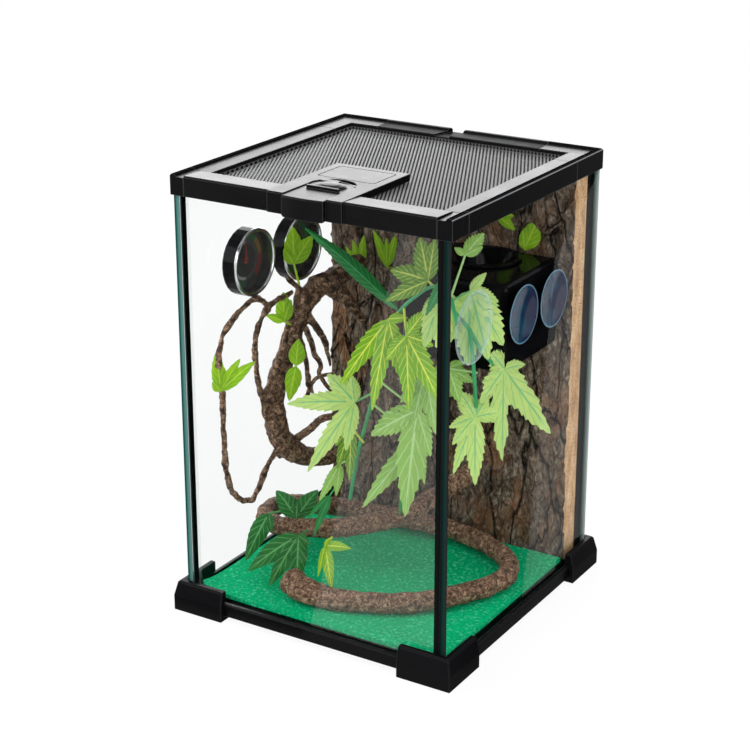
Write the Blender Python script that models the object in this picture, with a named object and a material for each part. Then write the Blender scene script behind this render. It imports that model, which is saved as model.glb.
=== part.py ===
"""Small front-latch terrarium: a glass tank on four corner feet, with a sliding screen lid and its furnishings.

Metres, +Z up. The origin is on the floor under the middle of the tank, and -Y is the side with the latch.
"""
import math

import bmesh
import bpy
from mathutils import Matrix, Vector, noise

# Overall sizes
WIDTH = 0.210            # top frame, across the front
DEPTH = 0.210            # top frame, front to back
HEIGHT = 0.3145          # floor to the top edge of the frame
GAP = 0.0003             # between pieces that touch
JOIN = 0.0010            # parts of one piece run into each other by this much, and cutters run past it
PAST = 0.0100            # large cutters run past the piece by this much
EDGE_CHAMFER = 0.0008    # outer edges of rails and of the latch housing

# Glass and sealant
PANE = 0.0045            # side, front and rear glass
FLOOR_PANE = 0.0040      # glass floor
BEAD = 0.0015            # sealant between the ends of the panes
FILLET = 0.0042          # inner leg of a corner bead
ARRIS = 0.0004           # ground edge of a pane

# Base frame and feet
BASE_LIFT = 0.0040       # air under the base rails
BASE_RAIL = 0.0093       # height of a base rail
BASE_SPREAD = 0.0020     # base rails stand this far outside the top frame
BASE_SHELF = 0.0040      # thickness of the shelf that carries the glass
BASE_SHELF_REACH = 0.0160
FOOT_HEIGHT = 0.0221
FOOT_SPREAD = 0.0060     # feet stand this far outside the top frame
FOOT_TAPER = 0.0022      # upper half of a foot leans in by this much
FOOT_ARM = 0.0405        # length of a foot along each side
FOOT_SOLE_REACH = 0.0130
FOOT_CHAMFER = 0.0012
FOOT_ARRIS = 0.0005

# Top frame
RIM_FACE = 0.0141        # height of the black face
RIM_SKIN = 0.0011        # thickness of the face in front of the glass
RIM_POCKET = 0.0083      # top edge down to the ceiling of the glass channel
RIM_INNER_LEG = 0.0012   # leg inside the glass
RIDGE_HEIGHT = 0.0015
RIDGE_WIDTH = 0.0050
RIDGE_CHAMFER = 0.0012
LIP = 0.0180             # outer face to the inner edge of the lip
LIP_SLOPE = 0.0003
LIP_THICKNESS = 0.0016
LIP_CHAMFER = 0.0004
TRACK_WALL = 0.0106      # outer face to the wall of the lid's track
TRACK_FLOOR = 0.0068     # top edge down to the floor of the track
TRACK_REACH = 0.0158
FRONT_ARM = 0.0203       # front corner pieces, along the side
REAR_ARM = 0.0400        # rear corner pieces, both ways
NOTCH_WIDTH = 0.0125     # cable notch in the rear rail
NOTCH_X = -0.0062
NOTCH_DEPTH = 0.0030
NOTCH_SLANT = 0.0060     # its front end lies this far to the left

# Lid
LID_BAR = 0.0200         # outer face of the frame to the mesh
LID_BAR_THICKNESS = 0.0028
LID_LEAD = 0.0010        # chamfer along the front bar's outer edge
LID_LEAD_DROP = 0.0004   # top edge of the frame down to the front bar
LID_FALL = 0.0015        # chamfer along the front bar's inner edge
LID_FALL_DROP = 0.0010
MESH_THICKNESS = 0.0008
MESH_BORDER = 0.0030
MESH_PITCH = 0.0044
MESH_SLOT = 0.0026
MESH_SLOT_LENGTH = 0.0400
MESH_TIE = 0.0016
MESH_SHORTEST = 0.0060
MESH_ANGLE = 60.0        # degrees from +X, towards the rear left
LATCH_HALF = 0.0278      # half width of the latch housing
LATCH_BAY = 0.0160       # half width of the bay between its arms
LATCH_REACH = 0.0810     # front face to the rear edge of the housing
LATCH_PROUD = 0.0015     # the arms stand out of the front face
LATCH_TOP = 0.0003       # top edge of the frame down to the housing's top
LATCH_DECK = 0.0050      # top edge down to the underside over the mesh
LATCH_FLOOR = 0.0017     # thickness of the housing's floor under the lever
LATCH_FLOOR_PROUD = 0.0004
WEB_REACH = 0.0157
PANEL_LEAD = 0.0060      # the rear panel starts this far in front of the pivot
GROOVE_INSET = 0.0055    # outline of the panel, from the pivot and from the housing's rear edge
GROOVE_SIDE = 0.0060
GROOVE_WIDTH = 0.0007
GROOVE_DEPTH = 0.0006
GROOVE_RADIUS = 0.0022
LEVER_SIDE_PLAY = 0.0005
LEVER_PROUD = 0.0035
LEVER_PLATE = 0.0024
LEVER_FACE = 0.0028
LEVER_TOP = 0.0010
LEVER_DROP = 0.0009      # the latch plate hangs below the frame's face
LEVER_BULGE = 0.0012
LEVER_CHAMFER = 0.0010
LEVER_NOSE = 0.0006      # the face leans in by this much at its top edge
PIVOT_INSET = 0.0410     # front face to the lever's pivot
PIVOT_DROP = 0.0022
BARREL_RADIUS = 0.0016
BARREL_HALF = 0.0066     # half length, inside the round end of the lever
PIN_RADIUS = 0.0008
PIN_SEAT = 0.0018        # the pin reaches this far into each arm
LEVER_TAIL = 0.0020      # round end of the lever, behind the pivot
TAIL_LENGTH = 0.0130     # round part of the lever's plan
TAIL_CLEARANCE = 0.0028
DOME_LENGTH = 0.0234
DOME_WIDTH = 0.0166
DOME_HEIGHT = 0.0024
DOME_INSET = 0.0290
DOME_SHAPE = ((1.0, 0.15), (0.86, 0.55), (0.55, 0.9), (0.2, 1.0))      # shares of its size and height
FIN_LENGTH = 0.0240
FIN_THICKNESS = 0.0016
FIN_INSET = 0.0205
FIN_HEIGHT = 0.0020
TAB_WIDTH = 0.0130
TAB_DEPTH = 0.0040
TAB_HEIGHT = 0.0015
TAB_INSET = 0.0395
TAB_OFFSET = -0.0050
GRIP_ROOT = 0.0006       # dome, fin and tab reach this far into the lever's plate

# Floor covering, background and wood
CARPET = 0.0030
CARPET_CURL = 0.0040
CARPET_CURL_REACH = 0.0350
CARPET_PLAY = 0.0008     # air round the mat
BARK = 0.0185            # thickness of the cork background
BARK_RELIEF = 0.0045
BARK_TOP_ROOM = 0.0010
BARK_PLAIN_TOP = 0.0040
SEAT_RADIUS = 0.0120     # the bark is flat this far round a branch that is fixed to it
VINE_RADIUS = 0.0072
KNOB_RADIUS = 0.0098

# Feeder ledge on the right pane
LEDGE = (0.0800, 0.0775, 0.0620)
LEDGE_ROOM = 0.0068      # between the ledge and the background
LEDGE_BASE = 0.1805
LEDGE_ROUND = 0.0040
CUP_RADIUS = 0.0215
CUP_DEPTH = 0.0300
CUP_WALL = 0.0014
CUP_FLANGE = 0.0035
CUP_FLANGE_THICKNESS = 0.0016
CUP_TAPER = 0.8          # the cup's bottom as a share of its mouth
CUP_PLAY = 0.0010        # air under the cup
CUP_PLACE = (0.0420, 0.0490)      # from the ledge's face on the glass, and from its front
SUCKER_DEPTH = 0.0085
SUCKER_RADIUS = 0.0200
SUCKER_HUB = 0.0048
SUCKER_LIP = 0.0007      # thickness at the rim
SUCKER_PLACES = ((0.0088, 0.0421), (0.0531, 0.0406))      # from the ledge's front and base

# Hanging plant and free space
ROOM_MARGIN = 0.0100     # routes keep this far from the glass
PLANT_SUCKER_RADIUS = 0.0240
PLANT_SUCKER_DEPTH = 0.0105
STEM_RADIUS = 0.0013
LEAF_THICKNESS = 0.0008
STALK_HALF = 0.0006
STALK_END = 0.0020       # a stalk stops this far from the middle of its stem

# Gauges on the left pane
GAUGE_RADIUS = 0.0240
GAUGE_DEPTH = 0.0100
GAUGE_WALL = 0.0016
GAUGE_BACK = 0.0020
GAUGE_ROUND = 0.0010
DIAL_THICKNESS = 0.0008
LENS_THICKNESS = 0.0020
LENS_RIM = 0.0030        # width of the bright ring
LENS_SHAPE = ((0.0, 0.4), (0.4, 1.0), (1.0, 0.5))      # shares of the ring's width and of the thickness
SPINDLE_RADIUS = 0.0007
NEEDLE_LENGTH = 0.0165
NEEDLE_THICKNESS = 0.0006
NEEDLE_HUB = 0.0022
NEEDLE_NECK = 40         # degrees of the hub that the pointer grows from
GAUGE_PLACES = {"thermometer": (-0.0365, 0.2392), "hygrometer": (0.0227, 0.2348)}

# Worked out from the sizes above
HALF_X = WIDTH / 2
HALF_Y = DEPTH / 2
GLASS_INSET = RIM_SKIN + GAP
INNER_INSET = GLASS_INSET + PANE
GLASS_FOOT = BASE_LIFT + BASE_SHELF + GAP
GLASS_HEAD = HEIGHT - RIM_POCKET - GAP
FLOOR_TOP = GLASS_FOOT + FLOOR_PANE
FACE_FOOT = HEIGHT - RIM_FACE
CARPET_TOP = FLOOR_TOP + GAP + CARPET
INNER_X = HALF_X - INNER_INSET
INNER_Y = HALF_Y - INNER_INSET
BARK_BACK = INNER_Y - GAP
BARK_FRONT = BARK_BACK - BARK
LEDGE_FACE = INNER_X - GAP - SUCKER_DEPTH - GAP
LEDGE_FRONT = BARK_FRONT - LEDGE_ROOM - LEDGE[1]
LEDGE_TOP = LEDGE_BASE + LEDGE[2]


def clear_scene():
    for item in list(bpy.data.objects):
        bpy.data.objects.remove(item, do_unlink=True)


# Materials

COLOURS = {
    "glass": ((0.82, 0.93, 0.90), 0.05, 0.0),
    "black_plastic": ((0.012, 0.012, 0.013), 0.38, 0.0),
    "lid_plastic": ((0.018, 0.018, 0.019), 0.32, 0.0),
    "sealant": ((0.006, 0.006, 0.006), 0.55, 0.0),
    "steel_mesh": ((0.42, 0.43, 0.44), 0.35, 0.9),
    "steel_pin": ((0.60, 0.60, 0.61), 0.25, 1.0),
    "carpet": ((0.01, 0.42, 0.16), 0.95, 0.0),
    "cork_bark": ((0.16, 0.11, 0.075), 0.9, 0.0),
    "vine_bark": ((0.15, 0.085, 0.05), 0.85, 0.0),
    "root_wood": ((0.10, 0.05, 0.028), 0.8, 0.0),
    "ledge_plastic": ((0.006, 0.006, 0.007), 0.15, 0.0),
    "clear_vinyl": ((0.75, 0.85, 0.95), 0.08, 0.0),
    "leaf": ((0.22, 0.55, 0.10), 0.6, 0.0),
    "sprig": ((0.36, 0.62, 0.03), 0.6, 0.0),
    "dark_leaf": ((0.04, 0.25, 0.05), 0.6, 0.0),
    "stem": ((0.03, 0.35, 0.10), 0.5, 0.0),
    "dial": ((0.85, 0.85, 0.82), 0.6, 0.0),
    "needle": ((0.7, 0.03, 0.02), 0.4, 0.0),
    "lens": ((0.9, 0.93, 0.95), 0.03, 0.0),
}


def material(name):
    found = bpy.data.materials.get(name)
    if found:
        return found
    colour, roughness, metallic = COLOURS[name]
    made = bpy.data.materials.new(name)
    made.use_nodes = True
    shader = made.node_tree.nodes["Principled BSDF"]
    shader.inputs["Base Color"].default_value = (*colour, 1.0)
    shader.inputs["Roughness"].default_value = roughness
    shader.inputs["Metallic"].default_value = metallic
    return made


# Solids

def add_object(name, bm, finish, smooth=False):
    """Turn a bmesh into a named object with outward faces."""
    bmesh.ops.recalc_face_normals(bm, faces=bm.faces)
    mesh = bpy.data.meshes.new(name)
    bm.to_mesh(mesh)
    bm.free()
    if smooth:
        mesh.shade_smooth()
        mesh.set_sharp_from_angle(angle=math.radians(40))
    obj = bpy.data.objects.new(name, mesh)
    bpy.context.collection.objects.link(obj)
    mesh.materials.append(material(finish))
    return obj


def loft(name, rings, finish, smooth=False):
    """Skin rings that have as many points each, and close both ends."""
    bm = bmesh.new()
    loops = [[bm.verts.new(point) for point in ring] for ring in rings]
    count = len(loops[0])
    for low, high in zip(loops, loops[1:]):
        for i in range(count):
            j = (i + 1) % count
            bm.faces.new((low[i], low[j], high[j], high[i]))
    bm.faces.new(loops[0])
    bm.faces.new(loops[-1])
    return add_object(name, bm, finish, smooth)


def prism(name, outline, low, high, finish):
    """Extrude a plan outline from one height to another."""
    return loft(name, [[(x, y, z) for x, y in outline] for z in (low, high)], finish)


def block(name, corner_a, corner_b, finish):
    (x0, y0, z0), (x1, y1, z1) = corner_a, corner_b
    return prism(name, [(x0, y0), (x1, y0), (x1, y1), (x0, y1)], z0, z1, finish)


def turned(name, profile, centre, axis, finish, steps=28):
    """Turn a profile of (radius, height) about an axis; a radius of 0 is a pole."""
    bm = bmesh.new()
    frame = Vector(axis).to_track_quat("Z", "Y").to_matrix()
    loops = []
    for radius, height in profile:
        if radius == 0:
            loops.append([bm.verts.new(Vector(centre) + frame @ Vector((0, 0, height)))])
            continue
        ring = []
        for i in range(steps):
            angle = 2 * math.pi * i / steps
            point = Vector((radius * math.cos(angle), radius * math.sin(angle), height))
            ring.append(bm.verts.new(Vector(centre) + frame @ point))
        loops.append(ring)
    for low, high in zip(loops, loops[1:]):
        join_loops(bm, low, high, steps)
    if len(loops[0]) > 1:
        join_loops(bm, loops[-1], loops[0], steps)
    return add_object(name, bm, finish, smooth=True)


def join_loops(bm, low, high, steps):
    for i in range(steps):
        j = (i + 1) % steps
        if len(low) == 1:
            bm.faces.new((low[0], high[j], high[i]))
        elif len(high) == 1:
            bm.faces.new((low[i], low[j], high[0]))
        else:
            bm.faces.new((low[i], low[j], high[j], high[i]))


def round_edges(obj, width, segments=2, angle=35):
    bevel = obj.modifiers.new("edges", "BEVEL")
    bevel.width = width
    bevel.segments = segments
    bevel.limit_method = "ANGLE"
    bevel.angle_limit = math.radians(angle)
    return obj


def combine(target, others, operation):
    """Join or cut with other objects, which stay as hidden guides."""
    for other in others:
        other.hide_render = True
        other.display_type = "WIRE"
        step = target.modifiers.new(operation.lower(), "BOOLEAN")
        step.operation = operation
        step.object = other
        step.solver = "EXACT"
    return target


# Routes

def smooth_route(points, step):
    """Points about one step apart on a smooth curve through the given ones."""
    route = [Vector(p) for p in points]
    ends = [2 * route[0] - route[1]] + route + [2 * route[-1] - route[-2]]
    result = []
    for a, b, c, d in zip(ends, ends[1:], ends[2:], ends[3:]):
        count = max(1, round((c - b).length / step))
        for i in range(count):
            t = i / count
            result.append(0.5 * (2 * b + (c - a) * t + (2 * a - 5 * b + 4 * c - d) * t * t
                                 + (3 * b - 3 * c + d - a) * t ** 3))
    result.append(route[-1])
    return result


def tube(name, points, radii, finish, sides=8, step=0.006, ripple=0.0):
    """A round bar along a smooth route, with a radius that follows the given ones."""
    route = smooth_route(points, step)
    side = (route[1] - route[0]).orthogonal().normalized()
    rings = []
    for i, point in enumerate(route):
        ahead = route[min(i + 1, len(route) - 1)] - route[max(i - 1, 0)]
        ahead.normalize()
        side = (side - ahead * side.dot(ahead)).normalized()
        across = ahead.cross(side)
        place = i / (len(route) - 1) * (len(radii) - 1)
        low = min(int(place), len(radii) - 2)
        radius = radii[low] + (radii[low + 1] - radii[low]) * (place - low)
        ring = []
        for k in range(sides):
            angle = 2 * math.pi * k / sides
            direction = side * math.cos(angle) + across * math.sin(angle)
            grain = 1 + ripple * noise.noise((point + direction * radius) * 120)
            ring.append(point + direction * radius * grain)
        rings.append(ring)
    return loft(name, rings, finish, smooth=True)


def room(across, back, up):
    """A point inside the tank.

    across: -100 is beside the left glass, 100 beside the right one.
    back: -100 is beside the front glass, 0 in line with the ledge's front, 100 on the background.
    up: millimetres above the glass floor.
    """
    side_span = INNER_X - ROOM_MARGIN
    span = BARK_FRONT - LEDGE_FRONT
    if back < 0:
        span = LEDGE_FRONT + INNER_Y - ROOM_MARGIN
    return Vector((across / 100 * side_span, LEDGE_FRONT + back / 100 * span, FLOOR_TOP + up / 1000))


def room_route(points):
    return [room(*point) for point in points]


# Frame members

def on_side(side, inset, z, run):
    """A point measured from one outer face of the top frame."""
    if side == "front":
        return (run, -HALF_Y + inset, z)
    if side == "rear":
        return (run, HALF_Y - inset, z)
    if side == "left":
        return (-HALF_X + inset, run, z)
    return (HALF_X - inset, run, z)


def rail(name, side, section, start, end, finish, mitre=False):
    """Extrude a section of (inset, height) along one side of the tank."""
    lean = 1 if mitre else 0
    rings = [
        [on_side(side, inset, z, start + lean * inset) for inset, z in section],
        [on_side(side, inset, z, end - lean * inset) for inset, z in section],
    ]
    return loft(name, rings, finish)


def corner(name, sign_x, sign_y, section, arm, finish):
    """Carry a section round one corner of the tank, as a mitred L."""
    rings = [
        [(sign_x * (HALF_X - arm), sign_y * (HALF_Y - inset), z) for inset, z in section],
        [(sign_x * (HALF_X - inset), sign_y * (HALF_Y - inset), z) for inset, z in section],
        [(sign_x * (HALF_X - inset), sign_y * (HALF_Y - arm), z) for inset, z in section],
    ]
    return loft(name, rings, finish)


CORNERS = {"front_left": (-1, -1), "front_right": (1, -1), "rear_left": (-1, 1), "rear_right": (1, 1)}


def make_glass():
    outer_x = HALF_X - GLASS_INSET
    outer_y = HALF_Y - GLASS_INSET
    ends = outer_x - PANE - BEAD
    panes = {
        "pane_left": ((-outer_x, -outer_y), (-outer_x + PANE, outer_y)),
        "pane_right": ((outer_x - PANE, -outer_y), (outer_x, outer_y)),
        "pane_front": ((-ends, -outer_y), (ends, -outer_y + PANE)),
        "pane_rear": ((-ends, outer_y - PANE), (ends, outer_y)),
    }
    for name, (low, high) in panes.items():
        pane = block(name, (*low, GLASS_FOOT), (*high, GLASS_HEAD), "glass")
        round_edges(pane, ARRIS, segments=1)
    floor_x = INNER_X - GAP
    floor_y = INNER_Y - GAP
    block("pane_floor", (-floor_x, -floor_y, GLASS_FOOT), (floor_x, floor_y, FLOOR_TOP), "glass")


def make_sealant():
    """One bead in each corner: between the pane ends, with a fillet inside."""
    low = FLOOR_TOP + GAP
    high = FACE_FOOT - GAP
    side = INNER_X - GAP
    gap_inner = INNER_X - BEAD + GAP
    front_outer = HALF_Y - GLASS_INSET - GAP
    front_inner = INNER_Y - GAP
    for place, (sx, sy) in CORNERS.items():
        outline = [
            (side, front_outer), (gap_inner, front_outer), (gap_inner, front_inner),
            (INNER_X - FILLET, front_inner), (side, INNER_Y - FILLET),
        ]
        prism("sealant_" + place, [(sx * x, sy * y) for x, y in outline], low, high, "sealant")


def make_base():
    """Base rails with a shelf under the glass, mitred under the feet."""
    top = BASE_LIFT + BASE_RAIL
    wall = GLASS_INSET - GAP
    shelf = BASE_LIFT + BASE_SHELF
    section = [
        (-BASE_SPREAD, BASE_LIFT), (-BASE_SPREAD, top - EDGE_CHAMFER), (EDGE_CHAMFER - BASE_SPREAD, top),
        (wall, top), (wall, shelf), (BASE_SHELF_REACH, shelf), (BASE_SHELF_REACH, BASE_LIFT),
    ]
    for side, half in (("front", HALF_X), ("rear", HALF_X), ("left", HALF_Y), ("right", HALF_Y)):
        rail("base_rail_" + side, side, section, -half + GAP, half - GAP, "black_plastic", mitre=True)


def make_feet():
    """L-shaped feet that wrap each corner of the base frame."""
    wall = GLASS_INSET - GAP
    rail_top = BASE_LIFT + BASE_RAIL + GAP
    rail_face = -BASE_SPREAD - GAP
    lean = -FOOT_SPREAD + FOOT_TAPER
    section = [
        (FOOT_SOLE_REACH, 0), (-FOOT_SPREAD, 0), (-FOOT_SPREAD, FOOT_HEIGHT / 2),
        (lean, FOOT_HEIGHT - FOOT_CHAMFER), (lean + FOOT_CHAMFER, FOOT_HEIGHT), (wall, FOOT_HEIGHT),
        (wall, rail_top), (rail_face, rail_top), (rail_face, BASE_LIFT - GAP),
        (FOOT_SOLE_REACH, BASE_LIFT - GAP),
    ]
    for place, (sx, sy) in CORNERS.items():
        foot = corner("foot_" + place, sx, sy, section, FOOT_ARM - FOOT_SPREAD, "black_plastic")
        round_edges(foot, FOOT_ARRIS, segments=1, angle=50)


# Top frame

def ridge_points():
    """Outer face and the raised ridge along it, from the pocket upwards."""
    return [
        (0, HEIGHT - RIDGE_CHAMFER), (RIDGE_CHAMFER, HEIGHT), (RIDGE_WIDTH - RIDGE_CHAMFER, HEIGHT),
        (RIDGE_WIDTH, HEIGHT - RIDGE_HEIGHT),
    ]


def rim_section():
    """Channel over the glass, track for the lid, and the lip above the track."""
    pocket = HEIGHT - RIM_POCKET
    track = HEIGHT - TRACK_FLOOR
    lip_top = HEIGHT - RIDGE_HEIGHT - LIP_SLOPE
    lip_foot = HEIGHT - RIDGE_HEIGHT - LIP_SLOPE - LIP_THICKNESS
    leg = INNER_INSET + GAP
    return [(0, FACE_FOOT)] + ridge_points() + [
        (LIP - LIP_CHAMFER, lip_top), (LIP, lip_top - LIP_CHAMFER), (LIP, lip_foot), (TRACK_WALL, lip_foot),
        (TRACK_WALL, track), (TRACK_REACH, track), (TRACK_REACH, pocket), (leg + RIM_INNER_LEG, pocket),
        (leg + RIM_INNER_LEG, FACE_FOOT), (leg, FACE_FOOT), (leg, pocket), (RIM_SKIN, pocket),
        (RIM_SKIN, FACE_FOOT),
    ]


def make_front_corner(place, sx):
    """A front post: the rim's channel without lip or track, closed in front by its own face."""
    pocket = HEIGHT - RIM_POCKET
    overlap = pocket + JOIN
    side = "left" if sx < 0 else "right"
    end = -HALF_Y + FRONT_ARM
    name = "top_corner_" + place
    head_section = [(0, pocket)] + ridge_points() + [
        (TRACK_WALL, HEIGHT - RIDGE_HEIGHT - LIP_SLOPE), (TRACK_WALL, pocket),
    ]
    head = rail(name, side, head_section, -HALF_Y, end, "black_plastic")
    leg = INNER_INSET + GAP
    walls = []
    for part, near, far, start, stop in (
        ("_skin", 0, RIM_SKIN, -HALF_Y, end),
        ("_face", 0, TRACK_WALL, -HALF_Y, -HALF_Y + RIM_SKIN),
        ("_leg", leg, leg + RIM_INNER_LEG, -HALF_Y + leg, end),
    ):
        section = [(near, FACE_FOOT), (near, overlap), (far, overlap), (far, FACE_FOOT)]
        walls.append(rail(name + part, side, section, start, stop, "black_plastic"))
    combine(head, walls, "UNION")


def make_top_frame():
    section = rim_section()
    for place, (sx, sy) in CORNERS.items():
        if sy < 0:
            make_front_corner(place, sx)
        else:
            corner("top_corner_" + place, sx, sy, section, REAR_ARM, "black_plastic")
    start = -HALF_Y + FRONT_ARM + GAP
    end = HALF_Y - REAR_ARM - GAP
    rail("top_rail_left", "left", section, start, end, "black_plastic")
    rail("top_rail_right", "right", section, start, end, "black_plastic")
    half = HALF_X - REAR_ARM - GAP
    rear = rail("top_rail_rear", "rear", section, -half, half, "black_plastic")
    combine(rear, [cable_notch()], "DIFFERENCE")


def cable_notch():
    """A slanted trough through the ridge and lip, for a probe or cable."""
    left = NOTCH_X - NOTCH_WIDTH / 2
    right = NOTCH_X + NOTCH_WIDTH / 2
    front = HALF_Y - LIP - JOIN
    back = HALF_Y + JOIN
    outline = [(left - NOTCH_SLANT, front), (right - NOTCH_SLANT, front), (right, back), (left, back)]
    return prism("cable_notch_cutter", outline, HEIGHT - NOTCH_DEPTH, HEIGHT + JOIN, "black_plastic")


# Lid

def make_lid_frame():
    """Four bars round the mesh; the front bar is the front of the tank's top frame."""
    half_x = HALF_X - TRACK_WALL - GAP
    rear = HALF_Y - TRACK_WALL - GAP
    low = HEIGHT - TRACK_FLOOR + GAP
    high = low + LID_BAR_THICKNESS
    window = HALF_X - LID_BAR
    window_y = HALF_Y - LID_BAR
    bars = block("lid_frame", (-half_x, -window_y - MESH_BORDER, low), (half_x, rear, high), "lid_plastic")
    opening = block("lid_window_cutter", (-window, -window_y, low - JOIN), (window, window_y, high + JOIN),
                    "lid_plastic")
    pocket = HEIGHT - RIM_POCKET
    lead_top = HEIGHT - LID_LEAD_DROP
    fall_top = HEIGHT - LID_FALL_DROP
    front_section = [
        (0, FACE_FOOT), (0, lead_top - LID_LEAD), (LID_LEAD, lead_top), (LID_BAR - LID_FALL, fall_top),
        (LID_BAR, fall_top - LID_FALL), (LID_BAR, pocket), (RIM_SKIN, pocket), (RIM_SKIN, FACE_FOOT),
    ]
    front = rail("lid_front_bar", "front", front_section, -half_x, half_x, "lid_plastic")
    bay = LATCH_HALF + GAP
    through = block("latch_bay_cutter", (-bay, -HALF_Y - PAST, FACE_FOOT - PAST),
                    (bay, -HALF_Y + WEB_REACH, HEIGHT + PAST), "lid_plastic")
    over = block("latch_web_cutter", (-bay, -HALF_Y + WEB_REACH - JOIN, HEIGHT - LATCH_DECK - GAP),
                 (bay, -HALF_Y + LID_BAR + JOIN, HEIGHT + PAST), "lid_plastic")
    combine(bars, [opening], "DIFFERENCE")
    combine(bars, [front], "UNION")
    combine(bars, [through, over], "DIFFERENCE")


def mesh_slots(half_x, half_y):
    """End points of the slanted slots, clipped to the sheet inside its border."""
    angle = math.radians(MESH_ANGLE)
    along = Vector((-math.cos(angle), math.sin(angle)))
    across = Vector((math.sin(angle), math.cos(angle)))
    reach = half_x + half_y
    count = int(reach / MESH_PITCH)
    for row in range(-count, count + 1):
        centre = across * (row * MESH_PITCH)
        spans = []
        for limit, start, rate in ((half_x, centre.x, along.x), (half_y, centre.y, along.y)):
            spans.append(sorted(((-limit - start) / rate, (limit - start) / rate)))
        first = max(spans[0][0], spans[1][0])
        last = min(spans[0][1], spans[1][1])
        if last - first < MESH_SHORTEST:
            continue
        pieces = max(1, round((last - first) / MESH_SLOT_LENGTH))
        share = (last - first) / pieces
        for k in range(pieces):
            a = first + k * share + MESH_TIE / 2
            b = first + (k + 1) * share - MESH_TIE / 2
            yield centre + along * a, centre + along * b, across


def make_lid_mesh():
    """A metal screen: slanted slots with ties between them, in a plain border."""
    low = HEIGHT - TRACK_FLOOR + GAP
    half_x = HALF_X - LID_BAR - GAP
    half_y = HALF_Y - LID_BAR - GAP
    sheet = block("lid_mesh", (-half_x, -half_y, low), (half_x, half_y, low + MESH_THICKNESS), "steel_mesh")
    bm = bmesh.new()
    reach_x = half_x - MESH_BORDER
    reach_y = half_y - MESH_BORDER
    for start, end, across in mesh_slots(reach_x, reach_y):
        half = across * (MESH_SLOT / 2)
        plan = [start - half, end - half, end + half, start + half]
        rings = []
        for z in (low - JOIN, low + MESH_THICKNESS + JOIN):
            rings.append([bm.verts.new((p.x, p.y, z)) for p in plan])
        for i in range(4):
            j = (i + 1) % 4
            bm.faces.new((rings[0][i], rings[0][j], rings[1][j], rings[1][i]))
        bm.faces.new(rings[0])
        bm.faces.new(rings[1])
    slots = add_object("mesh_slot_cutter", bm, "steel_mesh")
    combine(sheet, [slots], "DIFFERENCE")


def make_latch_housing():
    """A U-shaped housing on the front bar, with a bay for the lever and a panel behind it."""
    top = HEIGHT - LATCH_TOP
    deck = HEIGHT - LATCH_DECK
    pocket = HEIGHT - RIM_POCKET
    web = WEB_REACH - GAP
    arm_section = [
        (-LATCH_PROUD, FACE_FOOT), (-LATCH_PROUD, top - EDGE_CHAMFER), (EDGE_CHAMFER - LATCH_PROUD, top),
        (LATCH_REACH, top), (LATCH_REACH, deck), (web, deck), (web, pocket), (RIM_SKIN, pocket),
        (RIM_SKIN, FACE_FOOT),
    ]
    floor_section = [
        (-LATCH_FLOOR_PROUD, FACE_FOOT), (-LATCH_FLOOR_PROUD, pocket + LATCH_FLOOR),
        (web, pocket + LATCH_FLOOR), (web, pocket), (RIM_SKIN, pocket), (RIM_SKIN, FACE_FOOT),
    ]
    housing = rail("latch_housing", "front", arm_section, -LATCH_HALF, -LATCH_BAY, "lid_plastic")
    arm = rail("latch_arm_right", "front", arm_section, LATCH_BAY, LATCH_HALF, "lid_plastic")
    overlap = LATCH_BAY + JOIN
    floor = rail("latch_floor", "front", floor_section, -overlap, overlap, "lid_plastic")
    panel_front = PIVOT_INSET - PANEL_LEAD
    panel_section = [(panel_front, deck), (panel_front, top), (LATCH_REACH, top), (LATCH_REACH, deck)]
    panel = rail("latch_panel", "front", panel_section, -overlap, overlap, "lid_plastic")
    tail = prism("latch_tail_cutter", lever_plan(TAIL_CLEARANCE), deck - JOIN, top + JOIN, "lid_plastic")
    combine(housing, [arm, floor, panel], "UNION")
    combine(housing, [tail, panel_groove(top), pin_bore()], "DIFFERENCE")


def lever_plan(margin):
    """Plan of the lever: straight sides and a round end behind the pivot."""
    half = LATCH_BAY - LEVER_SIDE_PLAY
    if margin:
        half = LATCH_BAY
    back = -HALF_Y + PIVOT_INSET + LEVER_TAIL + margin
    shoulder = back - TAIL_LENGTH - margin / 2
    front = -HALF_Y - LEVER_PROUD + LEVER_FACE / 2
    points = [(-half, front), (half, front)]
    steps = 12
    for i in range(steps + 1):
        angle = math.pi * i / steps
        points.append((half * math.cos(angle), shoulder + (back - shoulder) * math.sin(angle)))
    return points


def panel_groove(top):
    """Fine groove that outlines the panel behind the lever."""
    front = -HALF_Y + PIVOT_INSET + GROOVE_INSET + GROOVE_RADIUS
    back = -HALF_Y + LATCH_REACH - GROOVE_INSET - GROOVE_RADIUS
    side = LATCH_HALF - GROOVE_SIDE - GROOVE_RADIUS
    low = top - GROOVE_DEPTH
    high = top + JOIN
    inner = GROOVE_RADIUS - GROOVE_WIDTH
    bm = bmesh.new()
    loops = []
    for radius, z in ((GROOVE_RADIUS, low), (GROOVE_RADIUS, high), (inner, high), (inner, low)):
        loop = []
        for x, y, turn in ((side, back, 0), (-side, back, 90), (-side, front, 180), (side, front, 270)):
            for k in range(4):
                angle = math.radians(turn + 30 * k)
                loop.append(bm.verts.new((x + radius * math.cos(angle), y + radius * math.sin(angle), z)))
        loops.append(loop)
    for a in range(4):
        join_loops(bm, loops[a], loops[(a + 1) % 4], len(loops[a]))
    return add_object("panel_groove_cutter", bm, "lid_plastic")


def pivot_place():
    return (-HALF_Y + PIVOT_INSET, HEIGHT - PIVOT_DROP)


def bar_along_x(name, radius, half, finish, steps=16):
    y, z = pivot_place()
    profile = [(0, -half), (radius, -half), (radius, half), (0, half)]
    return turned(name, profile, (0, y, z), (1, 0, 0), finish, steps)


def pin_bore():
    return bar_along_x("pin_bore_cutter", PIN_RADIUS + GAP, LATCH_BAY + PIN_SEAT + GAP, "lid_plastic")


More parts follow.
